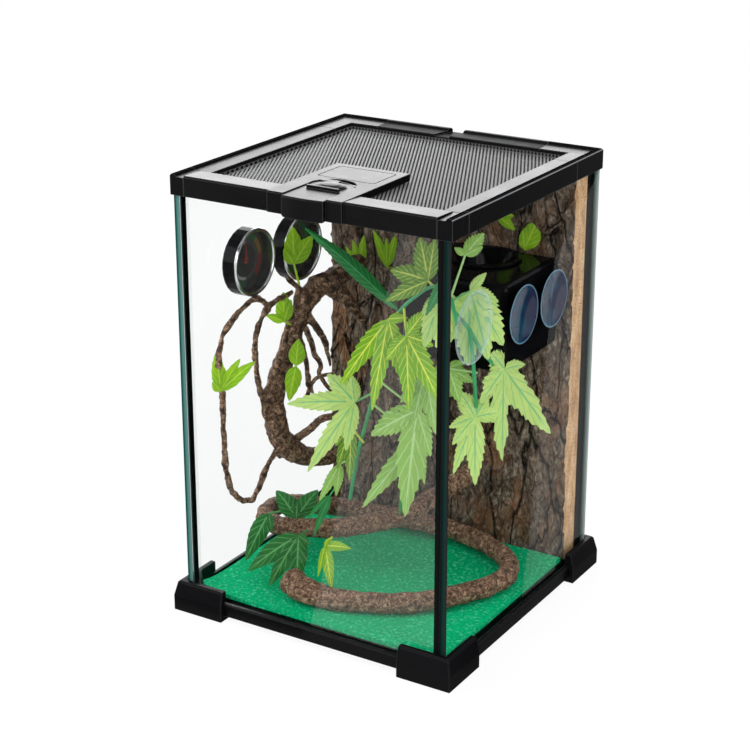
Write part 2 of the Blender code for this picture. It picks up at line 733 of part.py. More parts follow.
def make_latch_lever():
    """The latch: a bulged front plate, a top plate with a grip, and a barrel on the pin."""
    top = HEIGHT - LEVER_TOP
    under = top - LEVER_PLATE
    half = LATCH_BAY - LEVER_SIDE_PLAY
    foot = FACE_FOOT - LEVER_DROP
    lever = prism("latch_lever", lever_plan(0), under, top, "lid_plastic")
    steps = 10
    rings = []
    face_y = -HALF_Y - LEVER_PROUD
    back = face_y + LEVER_FACE
    for z, width, lean in (
        (foot, half - LEVER_CHAMFER, 0), (foot + LEVER_CHAMFER, half, 0), (top - LEVER_CHAMFER, half, 0),
        (top, half, LEVER_NOSE),
    ):
        ring = []
        for i in range(steps + 1):
            share = 2 * i / steps - 1
            ring.append((width * share, face_y + lean - LEVER_BULGE * (1 - share ** 2), z))
        rings.append(ring + [(width, back, z), (-width, back, z)])
    face = loft("latch_face", rings, "lid_plastic")
    barrel = bar_along_x("latch_barrel", BARREL_RADIUS, BARREL_HALF, "lid_plastic")
    combine(lever, [face, barrel, *grip_pieces(top)], "UNION")
    bore = bar_along_x("lever_bore_cutter", PIN_RADIUS + GAP, LATCH_BAY + JOIN, "lid_plastic")
    combine(lever, [bore], "DIFFERENCE")
    y, z = pivot_place()
    set_origin(lever, (0, y, z))
    bar_along_x("latch_pin", PIN_RADIUS, LATCH_BAY + PIN_SEAT, "steel_pin")


def grip_pieces(top):
    """Oval dome, upright fin and rear tab that a finger pulls."""
    y = -HALF_Y + DOME_INSET
    root = top - GRIP_ROOT
    steps = 24
    rings = []
    for share, z in [(1.0, root)] + [(share, top + rise * DOME_HEIGHT) for share, rise in DOME_SHAPE]:
        ring = []
        for i in range(steps):
            angle = 2 * math.pi * i / steps
            x = share * DOME_LENGTH / 2 * math.cos(angle)
            ring.append((x, y + share * DOME_WIDTH / 2 * math.sin(angle), z))
        rings.append(ring)
    dome = loft("grip_dome", rings, "lid_plastic", smooth=True)
    fin_y = -HALF_Y + FIN_INSET
    fin = block("grip_fin", (-FIN_LENGTH / 2, fin_y - FIN_THICKNESS / 2, root),
                (FIN_LENGTH / 2, fin_y + FIN_THICKNESS / 2, top + FIN_HEIGHT), "lid_plastic")
    tab_y = -HALF_Y + TAB_INSET
    tab = block("grip_tab", (TAB_OFFSET - TAB_WIDTH / 2, tab_y - TAB_DEPTH, root),
                (TAB_OFFSET + TAB_WIDTH / 2, tab_y, top + TAB_HEIGHT), "lid_plastic")
    return [dome, fin, tab]


def set_origin(obj, place):
    """Put an object's origin on its joint's axis, with its shape left where it is."""
    obj.data.transform(Matrix.Translation(-Vector(place)))
    obj.location = place


def make_lid():
    make_lid_frame()
    make_lid_mesh()
    make_latch_housing()
    make_latch_lever()


# Floor covering and background

def make_carpet():
    """Felt mat that ends at the background, cut back at the beads, its front left corner curled up."""
    half_x = INNER_X - GAP - CARPET_PLAY
    front = -INNER_Y + GAP + CARPET_PLAY
    back = BARK_FRONT - BARK_RELIEF - GAP
    columns = 9
    bm = bmesh.new()
    sheets = []
    for rise in (0.0, CARPET):
        sheet = []
        for j in range(columns + 1):
            row = []
            for i in range(columns + 1):
                x = -half_x + 2 * half_x * i / columns
                y = front + (back - front) * j / columns
                away = math.hypot(x + half_x, y - front)
                curl = CARPET_CURL * max(0.0, 1 - away / CARPET_CURL_REACH) ** 2
                if j == 0 and i in (0, columns):
                    x -= math.copysign(FILLET / 2, x)
                    y += FILLET / 2
                row.append(bm.verts.new((x, y, FLOOR_TOP + GAP + rise + curl)))
            sheet.append(row)
        sheets.append(sheet)
    for sheet in sheets:
        for j in range(columns):
            for i in range(columns):
                bm.faces.new((sheet[j][i], sheet[j][i + 1], sheet[j + 1][i + 1], sheet[j + 1][i]))
    low, high = sheets
    edge = [(0, i) for i in range(columns)] + [(j, columns) for j in range(columns)]
    edge += [(columns, i) for i in range(columns, 0, -1)] + [(j, 0) for j in range(columns, 0, -1)]
    for (a, b), (c, d) in zip(edge, edge[1:] + edge[:1]):
        bm.faces.new((low[a][b], low[c][d], high[c][d], high[a][b]))
    add_object("carpet_mat", bm, "carpet", smooth=True)


def bark_face(x, z, seats):
    """Depth of the bark's face: furrows down its length, flat where a branch is fixed."""
    if z > FACE_FOOT - BARK_PLAIN_TOP:
        return BARK_FRONT
    deep = noise.noise(Vector((x * 42, 0.3, z * 17)))
    fine = noise.noise(Vector((x * 110, 4.1, z * 60)))
    relief = BARK_RELIEF * max(0.0, min(1.0, 0.5 + 0.55 * deep + 0.28 * fine))
    for seat in seats:
        away = math.hypot(x - seat.x, z - seat.z)
        relief *= min(1.0, max(0.0, (away - SEAT_RADIUS) / SEAT_RADIUS))
    return BARK_FRONT - relief


def make_bark():
    """Cork background: a slab with a furrowed face, standing on the floor glass."""
    half_x = INNER_X - GAP
    low = FLOOR_TOP + GAP
    high = FACE_FOOT - BARK_TOP_ROOM
    columns, rows = 16, 26
    cut = FILLET
    seats = [room(*point) for point in (TRUNK[0], TRUNK[-1], SPRIG_SEAT)]
    bm = bmesh.new()
    front = []
    for j in range(rows + 1):
        z = low + (high - low) * j / rows
        front.append([])
        for i in range(columns + 1):
            x = -half_x + 2 * half_x * i / columns
            front[-1].append(bm.verts.new((x, bark_face(x, z, seats), z)))
    for j in range(rows):
        for i in range(columns):
            bm.faces.new((front[j][i], front[j][i + 1], front[j + 1][i + 1], front[j + 1][i]))
    edges = {"bottom": front[0], "top": front[-1]}
    back = {}
    for name, row in edges.items():
        z = row[0].co.z
        back[name] = [bm.verts.new((half_x, BARK_BACK - cut, z)), bm.verts.new((half_x - cut, BARK_BACK, z)),
                      bm.verts.new((-half_x + cut, BARK_BACK, z)), bm.verts.new((-half_x, BARK_BACK - cut, z))]
        bm.faces.new(row + back[name])
    for k in range(3):
        bm.faces.new((back["bottom"][k], back["bottom"][k + 1], back["top"][k + 1], back["top"][k]))
    right = [row[-1] for row in front]
    left = [row[0] for row in front]
    bm.faces.new(right + [back["top"][0], back["bottom"][0]])
    bm.faces.new(left + [back["top"][3], back["bottom"][3]])
    add_object("bark_background", bm, "cork_bark")


# Wood

# Places in the room, as room() takes them; the vine's heights are of its underside over the mat
VINE_ROUTE = (
    (-40.4, -84, 4.4), (-26.9, -89.3, 2.8), (-2.2, -87, 0.8), (31.4, -75.2, 0.8), (57.2, -57, 0.8),
    (76.3, -32.9, 0.8), (88.7, -10, 0.8), (96, 13, 0.8), (92.6, 35.6, 1.4), (78, 52.2, 2.2), (50.5, 64.1, 3.2),
    (21.3, 67.6, 5.2), (-14.6, 65.2, 5.7), (-51.6, 64.1, 3.7), (-78.6, 55.8, 5.2), (-94.8, 34.4, 11.2),
    (-99.9, 5.9, 19.7), (-100.6, -18.8, 24.7), (-96.5, -34.7, 22.7), (-79.7, -40, 22.2), (-51.1, -37.6, 26.2),
    (-23.6, -28.2, 29.5), (-3.4, -7.1, 31.2), (7.1, 16.6, 31.2), (12.8, 45.1, 34), (18, 64.1, 38.2),
    (34.8, 80.7, 50.2),
)


def make_vine():
    """Bendable vine: one thick bar that loops over the mat and climbs to the background."""
    radii = [KNOB_RADIUS, (KNOB_RADIUS + VINE_RADIUS) / 2] + [VINE_RADIUS] * (len(VINE_ROUTE) - 3)
    lift = Vector((0, 0, CARPET_TOP + VINE_RADIUS - FLOOR_TOP))
    route = [point + lift for point in room_route(VINE_ROUTE)]
    tube("bendable_vine", route, radii, "vine_bark", sides=9, step=0.009, ripple=0.10)


TRUNK = (
    (-82.5, 99.3, 200.7), (-83.1, 83, 199.7), (-85.3, 66.4, 196.2), (-90.5, 52.2, 192.2), (-96, 34.4, 184.9),
    (-98.2, 22.5, 171.4), (-99.7, 14.2, 156.5), (-100.4, 2.4, 142.4), (-101, -7.1, 127), (-100.8, -11.8, 108.2),
    (-98.2, -7.1, 88), (-93.2, 7.1, 72.6), (-84.8, 26.1, 64.7), (-75.8, 45.1, 64.2), (-72.4, 66.4, 64.2),
    (-71.8, 99.3, 64.2),
)
TRUNK_RADII = (0.0062, 0.0070, 0.0078, 0.0080, 0.0078, 0.0072, 0.0070, 0.0074, 0.0076, 0.0080, 0.0084, 0.0078,
               0.0066, 0.0056, 0.0046, 0.0040)
TWIGS = {
    "cross": (
        ((-92, 30.8, 196.7), (-85.3, 40.3, 197.7), (-75.2, 47.4, 188.7), (-65.5, 56.9, 175.1),
         (-60.6, 64.1, 164.7)),
        (0.0050, 0.0078, 0.0070, 0.0056, 0.0030),
    ),
    "left": (
        ((-94.8, 33.2, 184.7), (-92, 14.2, 195.7), (-92, 9.5, 182.7), (-95.7, 3.6, 173.2), (-94.4, -5.9, 157.7),
         (-98.8, -16.5, 137.3), (-102.7, -23.5, 122.7), (-103.3, -23.5, 109.7), (-99.3, -11.8, 93.7)),
        (0.0026, 0.0030, 0.0026, 0.0022, 0.0022, 0.0022, 0.0020, 0.0020, 0.0020),
    ),
    "outer": (
        ((-102.7, -24.7, 116.7), (-102.4, -31.7, 137.7), (-103.3, -34.1, 160.5), (-101.5, -31.7, 177.7),
         (-97.6, -18.8, 191.7), (-93.2, 7.1, 195.7)),
        (0.0018, 0.0020, 0.0022, 0.0022, 0.0022, 0.0022),
    ),
    "loop": (
        ((-97.6, -21.2, 190.7), (-96.5, -40, 201.7), (-97.1, -65.8, 196.7), (-100.4, -82.3, 183.7),
         (-101.5, -87, 171.7), (-98.8, -87, 143.7), (-99.3, -85.8, 109.1), (-100.8, -82.3, 85.2),
         (-100.3, -75.2, 66.2), (-97.3, -64.6, 56.5), (-94.9, -54.1, 54.3), (-96.7, -42.3, 60.2),
         (-97.4, -28.2, 72.7), (-96.5, -9.4, 83.7)),
        (0.0020, 0.0024, 0.0024, 0.0024, 0.0026, 0.0026, 0.0024, 0.0024, 0.0023, 0.0022, 0.0022, 0.0022,
         0.0022, 0.0024),
    ),
    "inner": (
        ((-95.4, 19, 159.7), (-87.5, 16.6, 143.7), (-83.6, 14.2, 125.7), (-78.6, 16.6, 114.2),
         (-74.1, 28.5, 103.7)),
        (0.0026, 0.0024, 0.0022, 0.0020, 0.0014),
    ),
    "stub": (((-92, 26.1, 173.7), (-84.2, 38, 155.7), (-79, 41.5, 132.7)), (0.0030, 0.0024, 0.0014)),
}


def make_root():
    """Driftwood: a curved trunk fixed to the background at both ends, with twigs grown into it."""
    route = room_route(TRUNK)
    for end in (route[0], route[-1]):
        end.y = BARK_FRONT - 2 * GAP
    trunk = tube("root_branch", route, TRUNK_RADII, "root_wood", sides=9, step=0.009, ripple=0.18)
    twigs = [tube("twig_" + name, room_route(points), radii, "root_wood", sides=6, step=0.009)
             for name, (points, radii) in TWIGS.items()]
    combine(trunk, twigs, "UNION")


# Leaves

VIEWER_SIDE = Vector((0.49, -0.80, 0.34)).normalized()
LOBE_ROOT = 0.15         # shares of a leaf's length: the notch between lobes, and a lobe's widest point
LOBE_MIDDLE = 0.42
LOBE_HALF_WIDTH = 0.15
LOBE_FOLD = 0.25
LOBE_ROOM = 0.9          # share of its sector that a lobe may fill
LOBE_LIFT = 0.05         # its tip stands off the leaf's plane by this share
NECK_REACH = 0.0040
NECK_SHARE = 0.4
SIDE_LOBE_LOSS = 0.35
SPRIG_SEAT = (71.3, 102, 230.7)


def leaf_axes(normal):
    up = (Vector((0, 0, 1)) - normal * normal.z).normalized()
    return up.cross(normal), up


def leaf(name, hub, length, heading, lobes, spread, stem, finish="leaf", normal=VIEWER_SIDE, droop=0.18,
         short=STALK_END):
    """A palmate leaf on its stalk: lobes fan out from the hub round the heading, in degrees."""
    hub = room(*hub)
    across, up = leaf_axes(normal)
    bm = bmesh.new()
    centre = bm.verts.new(hub)

    def direction(degrees):
        angle = math.radians(degrees)
        return across * math.cos(angle) + up * math.sin(angle)

    step = spread / (lobes - 1)
    angles = [heading - spread / 2 + step * i for i in range(lobes)]
    widest = min(LOBE_HALF_WIDTH, LOBE_MIDDLE * math.tan(math.radians(step / 2)) * LOBE_ROOM)
    notches = []
    for i in range(lobes + 1):
        notch = direction(angles[0] + step * (i - 0.5))
        notches.append(bm.verts.new(hub + notch * length * LOBE_ROOT))
    for i, angle in enumerate(angles):
        lean = abs(angle - heading) / (spread / 2)
        reach = length * (1 - SIDE_LOBE_LOSS * lean ** 2)
        out = direction(angle)
        side = normal.cross(out)
        middle = hub + out * reach * LOBE_MIDDLE
        tip = hub + out * reach - Vector((0, 0, droop * reach)) + normal * reach * LOBE_LIFT
        half = reach * widest
        low = bm.verts.new(middle - side * half - normal * half * LOBE_FOLD)
        high = bm.verts.new(middle + side * half - normal * half * LOBE_FOLD)
        mid = bm.verts.new(middle)
        end = bm.verts.new(tip)
        bm.faces.new((centre, notches[i], low, mid))
        bm.faces.new((low, end, mid))
        bm.faces.new((mid, end, high))
        bm.faces.new((centre, mid, high, notches[i + 1]))
    add_stalk(bm, centre, notches, hub, room(*stem), normal, short)
    bmesh.ops.triangulate(bm, faces=bm.faces)
    obj = add_object(name, bm, finish)
    thick = obj.modifiers.new("thickness", "SOLIDIFY")
    thick.thickness = LEAF_THICKNESS
    thick.offset = 0
    return obj


def add_stalk(bm, centre, notches, hub, stem, normal, short):
    """Join the hub to a stem with a narrow strip that stops just short of it."""
    back = (stem - hub).normalized()
    end = stem - back * short
    side = back.cross(normal).normalized() * STALK_HALF
    neck = hub + back * min(NECK_REACH, (end - hub).length * NECK_SHARE)
    neck_a = bm.verts.new(neck - side)
    neck_b = bm.verts.new(neck + side)
    first, last = notches[0], notches[-1]
    if (neck_a.co - last.co).length > (neck_b.co - last.co).length:
        neck_a, neck_b = neck_b, neck_a
        side = -side
    bm.faces.new((first, centre, last, neck_a, neck_b))
    end_a = bm.verts.new(end - side)
    end_b = bm.verts.new(end + side)
    bm.faces.new((neck_b, neck_a, end_a, end_b))


STEM_ROUTES = {
    "plant_stems": (
        (97.1, -70.4, 221.4), (92, -65.8, 227.7), (81.9, -56.4, 236.7), (66.8, -51.7, 237.7),
        (52.7, -51.7, 228.7), (38.5, -51.7, 215.7), (30.9, -51.7, 198.7), (24.9, -51.7, 178.7),
        (17.1, -51.7, 156), (9.4, -49.4, 133.7), (0, -47, 107.7), (-10.4, -42.3, 69.1),
    ),
    "stem_right": (
        (92, -65.8, 227.7), (96.5, -54.1, 215.7), (99.9, -37.6, 195.7), (99.9, -21.2, 183.7),
        (97.6, -11.8, 175.7),
    ),
    "stem_low": ((97.1, -51.7, 213.7), (97.6, -47, 195.7), (96, -38.8, 169.7), (93.8, -31.7, 153.7)),
}

# Name, hub, length, heading, lobes, spread and the place on the stem that its stalk comes from
LEAVES = (
    ("leaf_top", (64.8, -55.2, 241.7), 0.031, 150, 4, 105, (66.8, -51.7, 237.7)),
    ("leaf_middle", (35.4, -62.3, 212.7), 0.055, -125, 4, 70, (38.5, -51.7, 215.7)),
    ("leaf_front", (52.2, -64.6, 204.7), 0.049, -50, 4, 100, (42.6, -51.7, 219.2)),
    ("leaf_left", (6.2, -62.3, 149.7), 0.054, -150, 5, 140, (17.1, -51.7, 156)),
    ("leaf_low", (44.9, -56.4, 139.7), 0.062, -105, 3, 60, (14.1, -50.9, 147.7)),
    ("leaf_right_low", (85.3, -34.1, 145.7), 0.040, -118, 4, 130, (94.3, -31.7, 154.1)),
    ("leaf_pale", (85.3, -28.7, 231.8), 0.028, -50, 4, 100, (87, -61.1, 232.7)),
)


BLADE_ROUTE = (
    (38.2, -53.1, 217.9), (15.7, -44.7, 225.7), (-13.5, -30.6, 233.7), (-42.6, -18.8, 241.7),
    (-64, -18.8, 251.7),
)
BLADE_ROOT = 0.0008      # half widths of the strap leaf
BLADE_SWELL = 0.0046
BLADE_TAPER = 0.3


def make_plant():
    """Hanging artificial plant: stems from a suction cup on the right pane, with palmate leaves."""
    hub = room(*STEM_ROUTES["plant_stems"][0])
    suction_cup("plant_suction_cup", hub.y, hub.z, PLANT_SUCKER_RADIUS, PLANT_SUCKER_DEPTH)
    stems = [tube(name, room_route(route), [STEM_RADIUS] * 3, "stem", sides=6, step=0.009)
             for name, route in STEM_ROUTES.items()]
    combine(stems[0], stems[1:], "UNION")
    for name, hub, length, heading, lobes, spread, stem in LEAVES:
        leaf(name, hub, length, heading, lobes, spread, stem)
    leaf("leaf_right", (96.5, -9.4, 167.7), 0.058, -70, 4, 88, (97.9, -12.5, 176.1),
         normal=Vector((0.98, 0.12, -0.10)).normalized(), droop=0.05)
    make_blade()


def make_sprigs():
    """Small leaves on the driftwood and the background, and a dark plant on the vine."""
    leaf("sprig_top", (-88.1, 2.4, 215.7), 0.016, 95, 3, 80, (-91.5, 14.2, 193.7), finish="sprig", short=0.0036)
    leaf("sprig_twig", (-92, -94, 169.7), 0.017, 80, 4, 130, (-101.5, -87, 169.7), finish="sprig", short=0.0032)
    leaf("sprig_bark", (71.3, 90.7, 231.7), 0.019, 75, 3, 60, SPRIG_SEAT, finish="sprig",
         normal=Vector((0.2, -0.95, 0.2)).normalized())
    leaf("lower_plant", (-58.4, -63.5, 49.7), 0.034, -90, 6, 300, (-58.4, -45.2, 39.6), finish="dark_leaf",
         droop=0.05, short=0.0009)


def make_blade():
    """Long strap leaf that arches from the plant's stem to the upper left."""
    route = smooth_route(room_route(BLADE_ROUTE), 0.008)
    bm = bmesh.new()
    pairs = []
    count = len(route) - 1
    for i, point in enumerate(route):
        t = i / count
        half = BLADE_ROOT + BLADE_SWELL * math.sin(math.pi * t) ** 0.8 * (1 - BLADE_TAPER * t)
        ahead = (route[min(i + 1, count)] - route[max(i - 1, 0)]).normalized()
        side = VIEWER_SIDE.cross(ahead).normalized()
        pairs.append((bm.verts.new(point - side * half), bm.verts.new(point + side * half)))
    for (a, b), (c, d) in zip(pairs, pairs[1:]):
        bm.faces.new((a, b, d, c))
    obj = add_object("leaf_blade", bm, "stem")
    thick = obj.modifiers.new("thickness", "SOLIDIFY")
    thick.thickness = LEAF_THICKNESS
    thick.offset = 0


# Feeder ledge

def suction_cup(name, y, z, radius, depth):
    """A vinyl cup: hub towards the tank, thin lip on the right pane."""
    face = INNER_X - GAP
    profile = [
        (0, 0), (SUCKER_HUB, 0), (SUCKER_HUB, depth * 0.35), (SUCKER_HUB * 1.25, depth * 0.5),
        (radius * 0.62, depth * 0.72), (radius, depth - SUCKER_LIP), (radius, depth),
        (radius * 0.9, depth), (radius * 0.6, depth * 0.86), (0, depth * 0.72),
    ]
    return turned(name, profile, (face - depth, y, z), (1, 0, 0), "clear_vinyl", steps=20)


def make_feeder():
    """Ledge on two suction cups, with a feeding cup that lifts out of its round well."""
    x = LEDGE_FACE - CUP_PLACE[0]
    y = LEDGE_FRONT + CUP_PLACE[1]
    ledge = block("feeder_ledge", (LEDGE_FACE - LEDGE[0], LEDGE_FRONT, LEDGE_BASE),
                  (LEDGE_FACE, LEDGE_FRONT + LEDGE[1], LEDGE_TOP), "ledge_plastic")
    round_edges(ledge, LEDGE_ROUND, segments=3)
    well_floor = -CUP_DEPTH - CUP_PLAY
    well_profile = [(0, well_floor), (CUP_RADIUS + GAP, well_floor), (CUP_RADIUS + GAP, JOIN), (0, JOIN)]
    well = turned("cup_well_cutter", well_profile, (x, y, LEDGE_TOP), (0, 0, 1), "ledge_plastic", steps=32)
    combine(ledge, [well], "DIFFERENCE")
    rim = CUP_FLANGE_THICKNESS + GAP
    bottom = CUP_RADIUS * CUP_TAPER
    cup_profile = [
        (0, -CUP_DEPTH), (bottom, -CUP_DEPTH), (CUP_RADIUS - GAP, GAP), (CUP_RADIUS + CUP_FLANGE, GAP),
        (CUP_RADIUS + CUP_FLANGE, rim), (CUP_RADIUS - CUP_WALL, rim), (bottom - CUP_WALL, CUP_WALL - CUP_DEPTH),
        (0, CUP_WALL - CUP_DEPTH),
    ]
    turned("feeding_cup", cup_profile, (x, y, LEDGE_TOP), (0, 0, 1), "ledge_plastic", steps=32)
    for name, (back, up) in zip(("front", "rear"), SUCKER_PLACES):
        suction_cup("feeder_suction_cup_" + name, LEDGE_FRONT + back, LEDGE_BASE + up, SUCKER_RADIUS,
                    SUCKER_DEPTH)


# Gauges

def make_gauge(name, y, z):
    """Round gauge on the left pane: case, dial with its spindle, needle and lens."""
    back = -INNER_X + GAP
    axis = (1, 0, 0)
    inner = GAUGE_RADIUS - GAUGE_WALL
    case = [
        (0, 0), (GAUGE_RADIUS - GAUGE_ROUND, 0), (GAUGE_RADIUS, GAUGE_ROUND), (GAUGE_RADIUS, GAUGE_DEPTH),
        (inner, GAUGE_DEPTH), (inner, GAUGE_BACK), (0, GAUGE_BACK),
    ]
    turned(name + "_case", case, (back, y, z), axis, "black_plastic")
    dial_back = GAUGE_BACK + GAP
    dial_front = dial_back + DIAL_THICKNESS
    spindle = dial_front + 3 * GAP + NEEDLE_THICKNESS
    dial = [
        (0, dial_back), (inner - GAP, dial_back), (inner - GAP, dial_front), (SPINDLE_RADIUS, dial_front),
        (SPINDLE_RADIUS, spindle), (0, spindle),
    ]
    turned(name + "_dial", dial, (back, y, z), axis, "dial")
    needle_back = back + dial_front + GAP
    make_needle(name + "_needle", needle_back, y, z)
    lens_back = GAUGE_DEPTH + GAP
    lens = [(0, lens_back), (GAUGE_RADIUS, lens_back)]
    for share, rise in LENS_SHAPE:
        lens.append((GAUGE_RADIUS - share * LENS_RIM, lens_back + LENS_THICKNESS * rise))
    lens.append((0, lens_back + LENS_THICKNESS * 0.8))
    turned(name + "_lens", lens, (back, y, z), axis, "lens")


def make_needle(name, back, y, z):
    """A pointer with a round hub on the spindle, turned on its own axis."""
    points = []
    steps = 12
    for i in range(steps + 1):
        angle = math.radians(90 + NEEDLE_NECK / 2 + (360 - NEEDLE_NECK) * i / steps)
        points.append((NEEDLE_HUB * math.cos(angle), NEEDLE_HUB * math.sin(angle)))
    points.append((0.0, NEEDLE_LENGTH))
    rings = [[(back + x, y + a, z + b) for a, b in points] for x in (0, NEEDLE_THICKNESS)]
    needle = loft(name, rings, "needle")
    loose = SPINDLE_RADIUS + GAP
    bore_profile = [(0, -JOIN), (loose, -JOIN), (loose, JOIN + NEEDLE_THICKNESS), (0, JOIN + NEEDLE_THICKNESS)]
    bore = turned(name + "_bore", bore_profile, (back, y, z), (1, 0, 0), "needle", steps=12)
    combine(needle, [bore], "DIFFERENCE")
    set_origin(needle, (back, y, z))


def build():
    clear_scene()
    make_glass()
    make_sealant()
    make_base()
    make_feet()
    make_top_frame()
    make_lid()
    make_carpet()
    make_bark()
    make_vine()
    make_root()
    make_plant()
    make_sprigs()
    make_feeder()
    for name, (y, z) in GAUGE_PLACES.items():
        make_gauge(name, y, z)


build()
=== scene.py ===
"""The furnished glass terrarium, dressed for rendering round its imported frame.

Metres, +Z up. The origin is on the floor under the middle of the tank, and -Y is the side with the latch.
"""
import math

import bmesh
import bpy
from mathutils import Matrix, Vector, noise


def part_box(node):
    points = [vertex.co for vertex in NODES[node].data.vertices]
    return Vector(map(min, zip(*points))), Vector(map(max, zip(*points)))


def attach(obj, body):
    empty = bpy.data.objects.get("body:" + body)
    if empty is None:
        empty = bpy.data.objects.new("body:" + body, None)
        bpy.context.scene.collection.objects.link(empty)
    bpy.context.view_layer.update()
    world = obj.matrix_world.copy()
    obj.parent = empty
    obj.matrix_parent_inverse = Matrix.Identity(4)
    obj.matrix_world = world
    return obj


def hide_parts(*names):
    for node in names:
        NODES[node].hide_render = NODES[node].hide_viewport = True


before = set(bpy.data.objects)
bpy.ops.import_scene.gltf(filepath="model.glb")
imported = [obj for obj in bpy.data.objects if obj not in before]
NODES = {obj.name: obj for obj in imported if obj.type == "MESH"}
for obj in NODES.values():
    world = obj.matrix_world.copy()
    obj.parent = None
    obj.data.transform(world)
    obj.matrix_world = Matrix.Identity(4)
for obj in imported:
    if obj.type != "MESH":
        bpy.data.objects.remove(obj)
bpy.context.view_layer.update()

# Camera, worked out from the photo's corners and glass edges
IMAGE_SIZE = 750
FOCAL_LENGTH = 1852.4            # pixels
AXIS_PIXEL = (375.9, 344.5)
CAMERA_TURN = 31.55              # degrees to the right of the front
CAMERA_RISE = 19.67
CAMERA_DISTANCE = 1.275
TARGET_HEIGHT = 0.1845
TARGET_SIDE = -0.0109
SENSOR = 36.0

# Tank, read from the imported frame
INNER_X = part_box("pane_right")[0].x
INNER_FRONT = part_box("pane_front")[1].y
BARK_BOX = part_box("bark_background")
MAT_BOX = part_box("carpet_mat")
SCREEN_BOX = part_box("lid_mesh")
RAIL_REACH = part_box("top_rail_right")[1].x
RAIL_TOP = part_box("top_rail_right")[1].z

# Surfaces, in metres
EAST = (1, 0, 0)
GAP = 0.0003
SHARP_ANGLE = 42                 # degrees
EDGE_RADIUS = 0.0007
RAIL_SKIN = 0.0012
RIDGE_WIDTH = 0.0006
CHANNEL_WIDTH = 0.0078
BORDER_REACH = 0.0022
BORDER_RISE = 0.0018
BORDER_OVERLAP = 0.0004
BEAD_WIDTH = 0.0045
BARK_RELIEF = 0.0045
BARK_CRACK = 0.0028
BARK_FRONT = BARK_BOX[1].y - 0.0185
BARK_CUT = 0.0042
MAT_THICKNESS = 0.0030
MAT_CURL = 0.0040
MAT_CURL_REACH = 0.035
MAT_CORNER = 0.0042
SCREEN_PITCH = 0.0024
SCREEN_BAR = 0.0012
SCREEN_EDGE = 0.0008
SCREEN_ANGLE = 63.5              # degrees from +X, towards the rear left
BAR_RISE = 0.00045
SHORTEST_BAR = 0.002
WEAVE_PITCH = 0.0014
WEAVE_WIRE = 0.0004
WEAVE_LAYERS = ((0.0, 0.00020), (0.00018, 0.00040))
GAUGE_RADIUS = 0.0240

# Tones that several materials share
SCREEN_GREY = (0.100, 0.100, 0.102)
# Painted sheen at the left end of the screen's bars
SCREEN_SHEEN = (0.260, 0.260, 0.265)
# Painted highlight along the edges of the black plastic
EDGE_HIGHLIGHT = (0.055, 0.055, 0.058)
# Painted highlight on the outer ridge of the frame's top
RIDGE_HIGHLIGHT = (0.16, 0.16, 0.165)
DIAL_BLACK = (0.008, 0.008, 0.009)


# Materials

def opaque(tone):
    """A colour with full alpha, from three parts or from one number for a grey."""
    return (*tone, 1.0) if isinstance(tone, tuple) else (tone, tone, tone, 1.0)


class Nodes:
    """A node tree built in code. A node's inputs are numbers, colours or the outputs of other nodes."""

    def __init__(self, tree):
        self.tree = tree

    def add(self, kind, inputs=None, **settings):
        node = self.tree.nodes.new(kind)
        for key, value in settings.items():
            setattr(node, key, value)
        for key, value in (inputs or {}).items():
            self.feed(node.inputs[key], value)
        return node

    def feed(self, socket, value):
        if isinstance(value, bpy.types.NodeSocket):
            self.tree.links.new(value, socket)
        else:
            socket.default_value = value

    def feed_tone(self, socket, value):
        self.feed(socket, value if isinstance(value, bpy.types.NodeSocket) else opaque(value))

    def math(self, operation, a, b=0.0):
        return self.add("ShaderNodeMath", {0: a, 1: b}, operation=operation).outputs["Value"]

    def plus(self, a, b):
        return self.math("ADD", a, b)

    def minus(self, a, b):
        return self.math("SUBTRACT", a, b)

    def times(self, a, b):
        return self.math("MULTIPLY", a, b)

    def above(self, a, b):
        return self.math("GREATER_THAN", a, b)

    def below(self, a, b):
        return self.math("LESS_THAN", a, b)

    def larger(self, a, b):
        return self.math("MAXIMUM", a, b)

    def absolute(self, a):
        return self.math("ABSOLUTE", a)

    def blend(self, share, a, b):
        """Two shaders mixed: a where the share is 0, b where it is 1."""
        return self.add("ShaderNodeMixShader", {0: share, 1: a, 2: b}).outputs["Shader"]

    def seen(self):
        """1 for the rays that the eye sees by, straight, off metal or through glass."""
        path = self.add("ShaderNodeLightPath").outputs
        direct = self.larger(path["Is Camera Ray"], path["Is Glossy Ray"])
        return self.larger(direct, path["Is Transmission Ray"])


